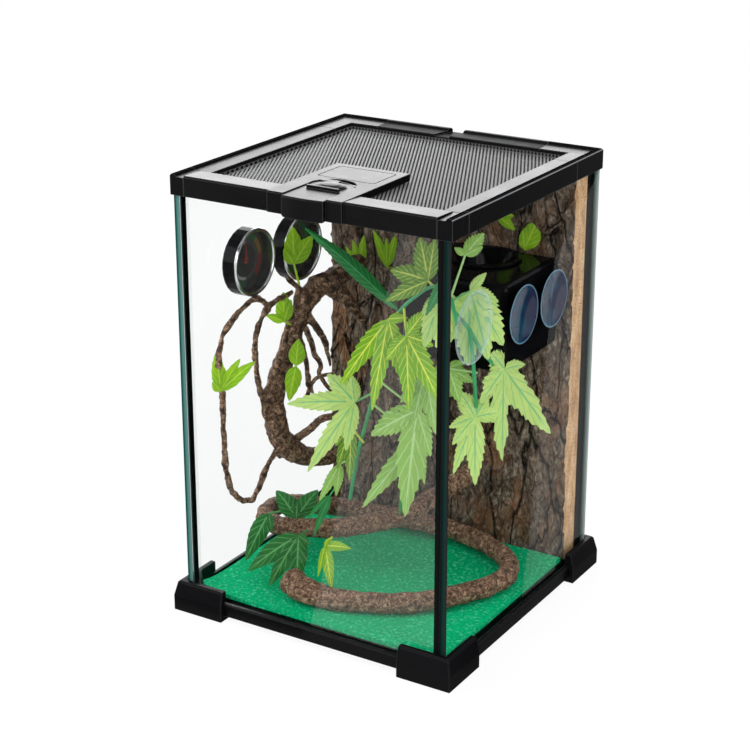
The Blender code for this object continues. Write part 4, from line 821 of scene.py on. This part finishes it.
def make_screen():
    """The lid's screen: pale slanted bars over a fine black weave, in a thin border."""
    low, high = SCREEN_BOX
    half_x = high.x - SCREEN_EDGE
    half_y = high.y - SCREEN_EDGE
    bm = bmesh.new()
    for side in (-1, 1):
        add_box(bm, (side * half_x, -high.y), (side * high.x, high.y), low.z, high.z)
        add_box(bm, (-half_x, side * half_y), (half_x, side * high.y), low.z, high.z)
    bmesh.ops.recalc_face_normals(bm, faces=bm.faces)
    angle = math.radians(SCREEN_ANGLE)
    along = Vector((-math.cos(angle), math.sin(angle)))
    across = Vector((math.sin(angle), math.cos(angle)))
    half = across * (SCREEN_BAR / 2)
    rows = int((half_x + half_y) / SCREEN_PITCH)
    for row in range(-rows, rows + 1):
        ends = clip_line(across * (row * SCREEN_PITCH), along, half_x, half_y)
        if ends:
            a, b = ends
            add_bar(bm, (a - half, b - half, b + half, a + half), low.z + BAR_RISE, high.z)
    add_piece("screen_bars", bm, screen_paint(), "screen", body="lid", smooth=False, stands_for=("lid_mesh",))
    bm = bmesh.new()
    count = int(half_x / WEAVE_PITCH)
    wire = WEAVE_WIRE / 2
    below, above = WEAVE_LAYERS
    for i in range(-count, count + 1):
        at = i * WEAVE_PITCH
        add_box(bm, (at - wire, -half_y), (at + wire, half_y), low.z + below[0], low.z + below[1])
        add_box(bm, (-half_x, at - wire), (half_x, at + wire), low.z + above[0], low.z + above[1])
    add_piece("screen_weave", bm, WEAVE, "screen", body="lid", smooth=False)


def clip_line(centre, along, half_x, half_y):
    """The stretch of a slanted line that lies inside a rectangle, or None."""
    spans = []
    for limit, start, rate in ((half_x, centre.x, along.x), (half_y, centre.y, along.y)):
        spans.append(sorted(((-limit - start) / rate, (limit - start) / rate)))
    first = max(spans[0][0], spans[1][0])
    last = min(spans[0][1], spans[1][1])
    if last - first < SHORTEST_BAR:
        return None
    return centre + along * first, centre + along * last


def make_mat():
    """Felt mat with a fuzzy surface, its front left corner curled up a little."""
    low, high = MAT_BOX
    columns, rows = 150, 130

    def place(i, j, rise):
        x = low.x + (high.x - low.x) * i / columns
        y = low.y + (high.y - low.y) * j / rows
        away = math.hypot(x - low.x, y - low.y)
        height = low.z + rise + MAT_CURL * max(0.0, 1 - away / MAT_CURL_REACH) ** 2
        if rise:
            height += 0.00022 * noise.noise(Vector((x * 900, y * 900, 3.7)))
            height += 0.0003 * noise.noise(Vector((x * 30, y * 30, 8.1)))
        shift = mat_corner(x, y)
        return x + shift.x, y + shift.y, height

    bm = bmesh.new()
    below = add_grid(bm, columns, rows, lambda i, j: place(i, j, 0.0), flipped=True)
    above = add_grid(bm, columns, rows, lambda i, j: place(i, j, MAT_THICKNESS))
    edge = [(0, i) for i in range(columns)] + [(j, columns) for j in range(rows)]
    edge += [(rows, i) for i in range(columns, 0, -1)] + [(j, 0) for j in range(rows, 0, -1)]
    for (a, b), (c, d) in zip(edge, edge[1:] + edge[:1]):
        bm.faces.new((below[a][b], below[c][d], above[c][d], above[a][b]))
    mat = add_piece("felt_mat", bm, felt_paint(), "carpet", stands_for=("carpet_mat",))


def mat_corner(x, y):
    """Cut the mat's corners back from the beads of sealant."""
    low, high = MAT_BOX
    inside = min(x - low.x, high.x - x) + y - low.y
    pull = max(0.0, MAT_CORNER - inside) / 2
    return Vector((math.copysign(pull, -x), pull))


# Where branches and a sprig are fixed, and the flat ground round each
SEATS = mm((-73.5, 0, 213), (-64, 0, 76.5), (63.5, 0, 243))
SEAT_RADIUS = 0.009
SEAT_SLOPE = 0.012


def bark_face(x, z):
    """Depth of the bark's face: long plates between furrows and cracks, flat round its seats."""
    deep = noise.noise(Vector((x * 42, 0.3, z * 17)))
    fine = noise.noise(Vector((x * 110, 4.1, z * 60)))
    relief = BARK_RELIEF * max(0.0, min(1.0, 0.5 + 0.55 * deep + 0.28 * fine))
    warp = 0.006 * noise.noise(Vector((x * 60, 7.7, z * 40)))
    rough = noise.noise(Vector((x * 330, 2.2, z * 210)))
    distances = noise.voronoi(Vector(((x + warp) * 75, 1.0, (z + warp) * 34)))[0]
    crack = max(0.0, 1 - (distances[1] - distances[0]) / 0.16)
    relief += BARK_CRACK * crack ** 1.5 + 0.0006 * (rough + 0.3)
    for seat in SEATS:
        away = math.hypot(x - seat.x, z - seat.z)
        relief *= min(1.0, max(0.0, (away - SEAT_RADIUS) / SEAT_SLOPE))
    return BARK_FRONT - max(0.0, relief)


def make_bark():
    """Cork background: furrowed face, rough left end and pale cut edges."""
    low, high = BARK_BOX
    columns, rows = 190, 280
    cut = BARK_CUT

    def place(i, j):
        x = low.x + (high.x - low.x) * i / columns
        z = low.z + (high.z - low.z) * j / rows
        return x, bark_face(x, z), z

    bm = bmesh.new()
    front = add_grid(bm, columns, rows, place)
    plan = ((high.x, high.y - cut), (high.x - cut, high.y), (low.x + cut, high.y), (low.x, high.y - cut))
    bottom, top = ([bm.verts.new((x, y, line[0].co.z)) for x, y in plan] for line in (front[0], front[-1]))
    ends = [bm.faces.new(front[0][::-1] + bottom[::-1]), bm.faces.new(front[-1] + top)]
    for k in range(3):
        ends.append(bm.faces.new((bottom[k], bottom[k + 1], top[k + 1], top[k])))
    right = [line[-1] for line in front]
    left = [line[0] for line in front]
    ends.append(bm.faces.new(right + [top[0], bottom[0]]))
    bm.faces.new(left[::-1] + [bottom[3], top[3]])
    for face in ends:
        face.material_index = 1
    bmesh.ops.recalc_face_normals(bm, faces=bm.faces)
    paints = [bark_paint(), cut_cork_paint()]
    add_piece("bark_plates", bm, paints, "cork_bark", stands_for=("bark_background",))


def make_wood():
    """Vine and driftwood, with their facets melted into a knobbly skin."""
    vine = organic_copy("bendable_vine", 0.0011, 0.0009, ((150, 1.0), (420, 0.5), (900, 0.25)))
    tones = ((0.060, 0.028, 0.015), (0.340, 0.175, 0.100), (0.840, 0.560, 0.360))
    vine_bark = wood_paint("vine_bark", *tones, grain=320)
    add_piece("vine_skin", vine, vine_bark, "vine_bark", stands_for=("bendable_vine",))
    root = organic_copy("root_branch", 0.0009, 0.0011, ((110, 1.0), (320, 0.6), (800, 0.25)))
    tones = ((0.030, 0.015, 0.009), (0.235, 0.122, 0.072), (0.820, 0.520, 0.340))
    root_bark = wood_paint("root_bark", *tones, grain=240)
    add_piece("root_skin", root, root_bark, "root_wood", stands_for=("root_branch",))
    bm = bmesh.new()
    for radii, points in SIDE_TWIGS:
        add_twig(bm, mm(*points), [0.001 * radius for radius in radii])
    add_piece("root_side_twigs", bm, root_bark, "root_wood")


# Thin shoots of the driftwood: radii at their ends and points of their routes, in mm
SIDE_TWIGS = (
    ((2.6, 1.7), ((-96, 27, 180), (-92.7, 20, 187), (-86.5, 20, 197.7), (-88.9, 18, 205.5), (-93.5, 12, 213),
                  (-90.5, 6, 221.5))),
    ((2.4, 1.4), ((-90, 28, 172), (-80.6, 22, 163), (-77.1, 20, 156.2), (-73.2, 20, 152.3),
                  (-71.8, 20, 147.5), (-73.5, 20, 142.7), (-67.7, 20, 135.2), (-60.5, 20, 129.1))),
    ((1.7, 1.2), ((-82.5, 17, 123), (-80.5, 20, 131.6), (-76.1, 20, 137.9), (-68.8, 20, 142.1),
                  (-58.8, 20, 145.6))),
    ((3.4, 2.4), ((-95, -3, 82), (-86.2, 0, 90.6), (-80.8, 0, 96.5), (-68.5, 0, 107), (-58.5, 0, 116.9),
                  (-44.4, 0, 122.9))),
)


TWIG_STEP = 0.0015
TWIG_KNOBS = 420
TWIG_ROUGHNESS = 0.22


def add_twig(bm, points, radii, sides=9):
    """A knobbly twig along a route, thinning from one end to the other."""
    route = smooth_route(points, TWIG_STEP)
    count = len(route) - 1
    rings = []
    for i, point in enumerate(route):
        ahead = ahead_at(route, i)
        side = ahead.cross(Vector((0.1, 1, 0.2))).normalized()
        other = ahead.cross(side)
        size = radii[0] + (radii[1] - radii[0]) * i / count
        ring = []
        for k in range(sides):
            angle = 2 * math.pi * k / sides
            out = side * math.cos(angle) + other * math.sin(angle)
            knob = TWIG_ROUGHNESS * noise.noise((point + out * size) * TWIG_KNOBS)
            ring.append(point + out * size * (1 + knob))
        rings.append(ring)
    skin_rings(bm, rings)
    bmesh.ops.recalc_face_normals(bm, faces=bm.faces)


# Name, paint, the CAD leaves it stands for, hub and stalk's end in mm, then its lobes
PALM_LEAVES = (
    ("palm_leaf_top", OLIVE_LEAF, ("leaf_top",), (57.7, -51, 254), (59.5, -48, 250),
     ((159, 26, 0.50), (201, 29, 0.36), (100, 31, 0.44), (82, 30, 0.34))),
    ("palm_leaf_middle", LIME_LEAF, ("leaf_middle",), (31.5, -57, 225), (34.3, -48, 228),
     ((231, 49, 0.24), (259, 55, 0.20), (284, 37, 0.32), (10, 13, 0.5))),
    ("palm_leaf_front", LIME_LEAF, ("leaf_front",), (46.5, -59, 217), (38, -48, 231.5),
     ((272, 44, 0.26), (299, 42, 0.34), (345, 18, 0.55), (226, 19, 0.5), (55, 23, 0.42))),
    ("palm_leaf_left", PALE_LEAF, ("leaf_left",), (5.5, -57, 162), (15.2, -48, 168.3),
     ((176, 45, 0.28), (233, 52, 0.22), (259, 30, 0.32), (130, 28, 0.48), (95, 20, 0.45))),
    ("palm_leaf_low", FRESH_LEAF, ("leaf_low",), (51.9, -54, 165), (18, -48, 178),
     ((263, 64, 0.29), (204, 33, 0.48), (288, 29, 0.36))),
    ("palm_leaf_deep", FRESH_LEAF, (), (48.3, -46, 140), (12.6, -47.3, 160),
     ((227, 54, 0.22), (279, 27, 0.26), (250, 30, 0.24))),
    ("palm_leaf_right_low", PALE_LEAF, ("leaf_right_low",), (83.8, -33, 159.7), (84, -31, 166.4),
     ((270, 41, 0.30), (247, 37, 0.24), (15, 17, 0.60), (61, 17, 0.60), (118, 21, 0.60), (197, 18, 0.45),
      (227, 22, 0.40))),
    ("palm_leaf_pale", PALE_LEAF, ("leaf_pale",), (76, -28.4, 244), (77.5, -56, 245),
     ((52, 17, 0.36), (304, 38, 0.50), (344, 19, 0.5), (268, 44, 0.46), (286, 42, 0.44), (245, 34, 0.40))),
    ("palm_leaf_high", FRESH_LEAF, (), (76, -36, 270), (76, -54, 247),
     ((140, 9, 0.5), (53, 20, 0.5), (30, 13, 0.5))),
    ("palm_leaf_back", PALE_LEAF, (), (62.1, -42, 242), (62, -48.2, 250),
     ((219, 16, 0.5), (250, 32, 0.42), (340, 14, 0.5), (272, 40, 0.34))),
    ("palm_leaf_post", FRESH_LEAF, (), (66, -38, 192), (84, -31, 190),
     ((335, 18, 0.5), (26, 12, 0.5), (290, 22, 0.5), (200, 16, 0.5))),
    ("palm_leaf_inner", FRESH_LEAF, (), (51.9, -44, 188.5), (24, -48, 197),
     ((256, 32, 0.34), (281, 38, 0.34), (228, 24, 0.36), (320, 22, 0.4))),
    ("palm_leaf_tail", FRESH_LEAF, (), (-12, -48, 110), (-4, -48.5, 116), ((238, 27, 0.26), (262, 20, 0.34))),
    ("palm_leaf_foot", STRAP_LEAF, (), (-19, -50, 86), (-12, -49, 97), ((246, 28, 0.20), (222, 22, 0.18))),
    ("palm_leaf_trail", OLIVE_LEAF, (), (-5.5, -44, 138), (7, -48, 130),
     ((250, 28, 0.30), (268, 34, 0.26), (228, 16, 0.5))),
)
PANE_LEAF = (
    "palm_leaf_right", PALE_LEAF, ("leaf_right",), (90.5, -6.7, 186.5), (87.2, -14.6, 188.4),
    ((267, 63, 0.32), (311, 80, 0.24), (207, 32, 0.55), (136, 24, 0.6), (354, 22, 0.4)),
)
SPRIGS = (
    ("sprig_on_top", SPRIG_LEAF, ("sprig_top",), (-78.8, -2, 230.2), (-81.5, 8, 212),
     ((92, 29, 0.46), (60, 26, 0.46), (121, 14, 0.6))),
    ("sprig_on_twig", SPRIG_LEAF, ("sprig_twig",), (-84.6, -84, 160.8), (-88.5, -79, 158),
     ((97, 29, 0.34), (45, 33, 0.27), (62, 28, 0.26), (130, 9, 0.8))),
    ("sprig_on_trunk", SPRIG_LEAF, (), (-80.6, -13, 190.5), (-80.5, -5, 186),
     ((91, 23, 0.50), (74, 18, 0.45), (155, 14, 0.45))),
    ("sprig_under_trunk", SPRIG_LEAF, (), (-66.3, -20, 162.2), (-72, -12, 160),
     ((85, 21, 0.55), (258, 23, 0.50))),
)
BARK_SPRIGS = (
    ("sprig_on_bark", SPRIG_LEAF, ("sprig_bark",), (63.5, 72.5, 244), (63.5, 80, 243),
     ((72, 25, 0.58), (100, 15, 0.5))),
    ("sprig_beside_trunk", SPRIG_LEAF, (), (-71.9, 73, 207), (-71.9, 80, 205),
     ((86, 29, 0.26), (122, 22, 0.26), (104, 25, 0.26))),
    ("sprig_on_middle", SPRIG_LEAF, (), (-47.9, 73, 213), (-47.9, 80, 211),
     ((113, 32, 0.22), (79, 30, 0.22), (95, 24, 0.22))),
    ("sprig_over_ledge", SPRIG_LEAF, (), (42.4, 72, 265.3), (42.4, 80, 266), ((330, 15, 0.5), (10, 12, 0.5))),
)
LOW_PLANTS = (
    ("dark_plant", DEEP_LEAF, ("lower_plant",), (-39.3, -60, 54), (-41, -46, 52),
     ((208, 40, 0.36), (236, 36, 0.36), (268, 30, 0.46), (330, 10, 0.6))),
    ("dark_plant_upper", DEEP_LEAF, (), (-57, -36, 53.5), (-54, -40, 52),
     ((121, 28, 0.50), (58, 29, 0.44), (88, 13, 0.8))),
    ("dark_plant_side", DEEP_LEAF, (), (-74, -46, 57), (-68, -40, 58), ((240, 33, 0.40), (280, 12, 0.5))),
    ("vine_sprig", LIME_LEAF, (), (-13.3, -66, 55.2), (-18, -50, 54),
     ((3, 18, 0.40), (280, 27, 0.30), (255, 19, 0.22), (64, 8, 0.4))),
)
STRAPS = (
    ("plant_strap_low", (44.5, -50, 140), (44.5, -48, 146), ((261, 47, 0.13),)),
    ("plant_strap_high", (72.5, -54, 260), (76, -56, 262), ((266, 18, 0.30), (240, 26, 0.26))),
)


def make_plants():
    """Leaves of the hanging plant, from top to bottom, then sprigs on the wood and the plants below."""
    for name, paint, *rest in PALM_LEAVES:
        make_leaf(name, paint, "leaf_cloth", *rest)
    name, paint, *rest = PANE_LEAF
    make_leaf(name, paint, "leaf_cloth", *rest, normal=PANE_SIDE, droop=0.02)
    make_strap()
    for name, *rest in STRAPS:
        make_leaf(name, STRAP_LEAF, "plant_stem", (), *rest)
    for name, paint, *rest in SPRIGS:
        make_leaf(name, paint, "sprig_cloth", *rest, teeth=5, ragged=0.03)
    for name, paint, *rest in BARK_SPRIGS:
        make_leaf(name, paint, "sprig_cloth", *rest, normal=BARK_SIDE, teeth=5, ragged=0.03)
    for name, paint, *rest in LOW_PLANTS:
        make_leaf(name, paint, "dark_leaf_cloth", *rest, teeth=8, droop=0.16, ragged=0.025)


STRAP_ROUTE = mm((34, -49.2, 230.2), (14, -42, 238), (-12, -30, 246), (-38, -20, 254), (-57, -20, 264))
STRAP_STEP = 0.0022
STRAP_KEEL = 0.0012


def make_strap():
    """Long strap leaf with a keeled rib and finely toothed edges."""
    route = smooth_route(STRAP_ROUTE, STRAP_STEP)
    bm = bmesh.new()
    uv_layer = bm.loops.layers.uv.new("leaf")
    lines = []
    for i, point in enumerate(route):
        t = i / (len(route) - 1)
        half = 0.0008 + 0.0050 * math.sin(math.pi * min(1.0, t * 1.02)) ** 0.8 * (1 - 0.3 * t)
        side = VIEWER_SIDE.cross(ahead_at(route, i)).normalized()
        tooth = 1.08 if i % 2 else 0.95
        line = []
        for share in BLADE:
            edge = tooth if abs(share) == 1.0 else 1.0
            keel = VIEWER_SIDE * (STRAP_KEEL * abs(share))
            line.append(bm.verts.new(point + side * (half * share * edge) - keel))
        lines.append((t, line))
    skin_blade(bm, uv_layer, lines)
    add_piece("strap_leaf", bm, STRAP_LEAF, "plant_stem", stands_for=("leaf_blade",))


# Suction cups: colours at the front and at the rear, whose difference is painted reflection, and a painted
# highlight on the lip, then cover by share of the radius
BLUE_VINYL = (((0.004, 0.060, 0.110), (0.014, 0.016, 0.050), (0.12, 0.24, 0.31)),
              ((0.0, 0.55), (0.55, 0.70), (0.85, 0.80), (1.0, 0.90)))
PALE_VINYL = (((0.22, 0.36, 0.30), (0.42, 0.56, 0.48), (0.46, 0.58, 0.56)),
              ((0.0, 0.03), (0.55, 0.05), (0.85, 0.13), (1.0, 0.38)))
SUCKERS = (("feeder_suction_cup_front", BLUE_VINYL), ("feeder_suction_cup_rear", BLUE_VINYL),
           ("plant_suction_cup", PALE_VINYL))
SUCKER_HUB = 0.0048


def make_suckers():
    """Clear suction cups: a hub and a thin dished lip."""
    hub = SUCKER_HUB
    for node, (tones, cover) in SUCKERS:
        low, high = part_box(node)
        centre = ((low.y + high.y) / 2, (low.z + high.z) / 2)
        radius = (high.y - low.y) / 2
        depth = high.x - low.x
        profile = [
            (0, 0.0004), (hub * 0.6, 0.0002), (hub * 0.9, 0), (hub, 0.0004), (hub, depth * 0.35),
            (hub * 1.12, depth * 0.44), (hub * 1.4, depth * 0.52), (radius * 0.45, depth * 0.62),
            (radius * 0.62, depth * 0.72), (radius * 0.82, depth * 0.83), (radius * 0.97, depth * 0.92),
            (radius, depth * 0.96), (radius, depth), (radius * 0.97, depth), (radius * 0.8, depth * 0.94),
            (radius * 0.6, depth * 0.86), (radius * 0.3, depth * 0.77), (0, depth * 0.74),
        ]
        paint = clear_vinyl(node + "_vinyl", (0.0, *centre), radius, tones, cover)
        turned_piece(node + "_lens", profile, (low.x, *centre), EAST, paint, "clear_vinyl",
                     stands_for=(node,))


CUP_WALL = 0.0014
CUP_RIM = 0.0019
CUP_FLANGE = 0.0035


def make_cup():
    """The feeding cup, turned as one thin bowl with a rolled rim."""
    low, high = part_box("feeding_cup")
    rim = (high.x - low.x) / 2
    wall = rim - CUP_FLANGE
    bottom = wall * 0.8
    depth = high.z - low.z
    profile = [
        (0, 0), (bottom - 0.001, 0), (bottom, 0.001), (wall - GAP, depth - CUP_RIM),
        (rim - 0.0006, depth - CUP_RIM), (rim, depth - 0.0013), (rim, depth - 0.0006), (rim - 0.0006, depth),
        (wall - 0.0008, depth), (wall - CUP_WALL, depth - 0.0006), (bottom - CUP_WALL, CUP_WALL + 0.001),
        (bottom - CUP_WALL - 0.0016, CUP_WALL), (0, CUP_WALL),
    ]
    centre = ((low.x + high.x) / 2, (low.y + high.y) / 2, low.z)
    turned_piece("feeding_cup_bowl", profile, centre, (0, 0, 1), POLISHED, "ledge_plastic", body="cup",
                 stands_for=("feeding_cup",))


# The gauges' coloured bands: where each starts, as a share of the turn, and its colour
BLUE = (0.012, 0.04, 0.12)
GREEN = (0.012, 0.09, 0.03)
AMBER = (0.20, 0.11, 0.01)
RED = (0.20, 0.012, 0.01)
BANDS = {
    "thermometer": ((0.0, DIAL_BLACK), (0.12, BLUE), (0.38, GREEN), (0.62, AMBER), (0.74, RED),
                    (0.88, DIAL_BLACK)),
    "hygrometer": ((0.0, DIAL_BLACK), (0.12, RED), (0.36, AMBER), (0.50, GREEN), (0.72, BLUE),
                   (0.88, DIAL_BLACK)),
}
DIAL_RISE = 0.0023
DIAL_THICKNESS = 0.0008
DIAL_INSET = 0.0019
PIN_RADIUS = 0.0007
PIN_RISE = 0.0023
RING_WIDTH = 0.0026
WINDOW_PLAY = 0.0001


def make_gauges():
    """Gauge faces with printed scales, bright rings and domed windows."""
    crystal = crystal_paint()
    rim = GAUGE_RADIUS
    for name, bands in BANDS.items():
        low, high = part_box(name + "_case")
        middle = ((low.y + high.y) / 2, (low.z + high.z) / 2)
        centre = (low.x + DIAL_RISE, *middle)
        disc = rim - DIAL_INSET
        thick = DIAL_THICKNESS
        pin = PIN_RADIUS
        profile = [(0, 0), (disc, 0), (disc, thick), (pin, thick), (pin, PIN_RISE), (0, PIN_RISE)]
        dial = dial_paint(name + "_scale", centre, bands)
        turned_piece(name + "_face", profile, centre, EAST, dial, "gauge_dial", stands_for=(name + "_dial",))
        low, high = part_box(name + "_lens")
        centre = (low.x, *middle)
        thick = high.x - low.x
        inner = rim - RING_WIDTH
        profile = [
            (inner, 0), (rim - 0.0004, 0), (rim, 0.0004), (rim, thick * 0.5), (rim - 0.0006, thick * 0.9),
            (rim - 0.0014, thick), (rim - 0.0022, thick * 0.85), (inner, thick * 0.5),
        ]
        turned_piece(name + "_ring", profile, centre, EAST, CHROME, "gauge_lens",
                     stands_for=(name + "_lens",))
        inner -= WINDOW_PLAY
        profile = [(0, 0), (inner, 0), (inner, thick * 0.3), (rim * 0.6, thick * 0.55), (0, thick * 0.65)]
        turned_piece(name + "_window", profile, centre, EAST, crystal, "gauge_lens")


# Stage

FLOOR_REACH = 6.0
CARD_HEIGHT = 0.0005
SKY_LIGHT = 0.68

# Corners of two dark cards on the floor, where the panes mirror them and leave the rest veiled
CARDS = {
    "card_front": ((-0.80, -1.20), (-0.49, -1.20), (-0.458, -0.987), (-0.169, -0.423), (-0.033, -0.160),
                   (-0.012, -0.118), (-0.125, -0.118), (-0.85, -1.00)),
    "card_right": ((0.640, 0.80), (0.66, 1.20), (0.60, 1.20), (0.463, 0.781), (0.245, 0.312), (0.153, 0.111),
                   (0.117, 0.030), (0.117, -0.085)),
}

MIDDLE = (0, 0, 0.16)

# Name, place, target, size and power
LIGHTS = (
    ("softbox_top", (0.15, -0.35, 1.35), MIDDLE, (1.1, 1.1), 8),
    ("softbox_right", (1.15, -0.75, 0.75), MIDDLE, (0.8, 0.9), 8),
    ("softbox_left", (-1.0, -1.0, 0.7), MIDDLE, (0.8, 0.9), 10),
    ("softbox_rear", (-0.66, 1.08, 0.72), (0, 0, 0.30), (1.2, 0.75), 12.5),
)


def add_stage(name, corners, height, paint):
    """A flat face that isn't part of the object."""
    bm = bmesh.new()
    bm.faces.new([bm.verts.new((x, y, height)) for x, y in corners])
    obj = add_object(name, to_mesh(name, bm, paint))
    return obj


def make_floor():
    """A pale floor that is white to the eye and keeps a soft shadow near the object."""
    paint = Paint("floor_white", roughness=0.9, specular=0.0)
    paint.colour(0.90)
    glow = paint.add("ShaderNodeEmission", {"Color": opaque(1.0), "Strength": 1.0}).outputs["Emission"]
    away = paint.vector("DISTANCE", paint.place, (0.0, 0.0, 0.0), "Value")
    share = paint.spread(paint.share(away, 0.7, 1.3), 0.92, 1.0)
    white = paint.finish(paint.blend(paint.times(paint.seen(), share), paint.body, glow))
    reach = FLOOR_REACH
    add_stage("floor", ((-reach, -reach), (reach, -reach), (reach, reach), (-reach, reach)), 0.0, white)


def make_cards():
    """Dark cards that only mirrored rays see, so the panes reflect the studio in part."""
    paint = Paint("card_black", roughness=0.9, specular=0.0)
    paint.colour(0.0)
    for name, corners in CARDS.items():
        card = add_stage(name, corners, CARD_HEIGHT, paint.material)
        card.visible_camera = False
        card.visible_diffuse = False
        card.visible_shadow = False
        card.visible_transmission = False


def make_world():
    """White to the eye and in reflections, softer as a light."""
    world = bpy.data.worlds.new("studio")
    world.use_nodes = True
    bpy.context.scene.world = world
    sky = Nodes(world.node_tree)
    soft = sky.tree.nodes["Background"]
    soft.inputs["Color"].default_value = opaque(1.0)
    soft.inputs["Strength"].default_value = SKY_LIGHT
    white = sky.add("ShaderNodeBackground", {"Color": opaque(1.0), "Strength": 1.0})
    whole = sky.blend(sky.seen(), soft.outputs["Background"], white.outputs["Background"])
    sky.feed(sky.tree.nodes["World Output"].inputs["Surface"], whole)


def make_lights():
    for name, place, target, size, power in LIGHTS:
        data = bpy.data.lights.new(name, "AREA")
        data.shape = "RECTANGLE"
        data.size, data.size_y = size
        data.energy = power
        light = add_object(name, data)
        light.location = place
        light.rotation_euler = (Vector(target) - Vector(place)).to_track_quat("-Z", "Y").to_euler()
        light.visible_camera = False


def add_camera():
    data = bpy.data.cameras.new("camera")
    data.sensor_width = SENSOR
    data.lens = FOCAL_LENGTH / IMAGE_SIZE * SENSOR
    data.shift_x = -(AXIS_PIXEL[0] - IMAGE_SIZE / 2) / IMAGE_SIZE
    data.shift_y = (AXIS_PIXEL[1] - IMAGE_SIZE / 2) / IMAGE_SIZE
    data.clip_start = 0.01
    camera = add_object("camera", data)
    turn = math.radians(CAMERA_TURN)
    rise = math.radians(CAMERA_RISE)
    forward = Vector((-math.sin(turn) * math.cos(rise), math.cos(turn) * math.cos(rise), -math.sin(rise)))
    target = Vector((math.cos(turn), math.sin(turn), 0)) * TARGET_SIDE + Vector((0, 0, TARGET_HEIGHT))
    camera.location = target - forward * CAMERA_DISTANCE
    camera.rotation_euler = forward.to_track_quat("-Z", "Y").to_euler()
    bpy.context.scene.camera = camera


def build():
    bpy.context.scene.view_settings.view_transform = "Standard"
    for step in (add_camera, make_world, make_floor, make_cards, make_lights, dress_nodes, make_screen,
                 make_mat, make_bark, make_wood, make_plants, make_suckers, make_cup, make_gauges):
        step()


build()
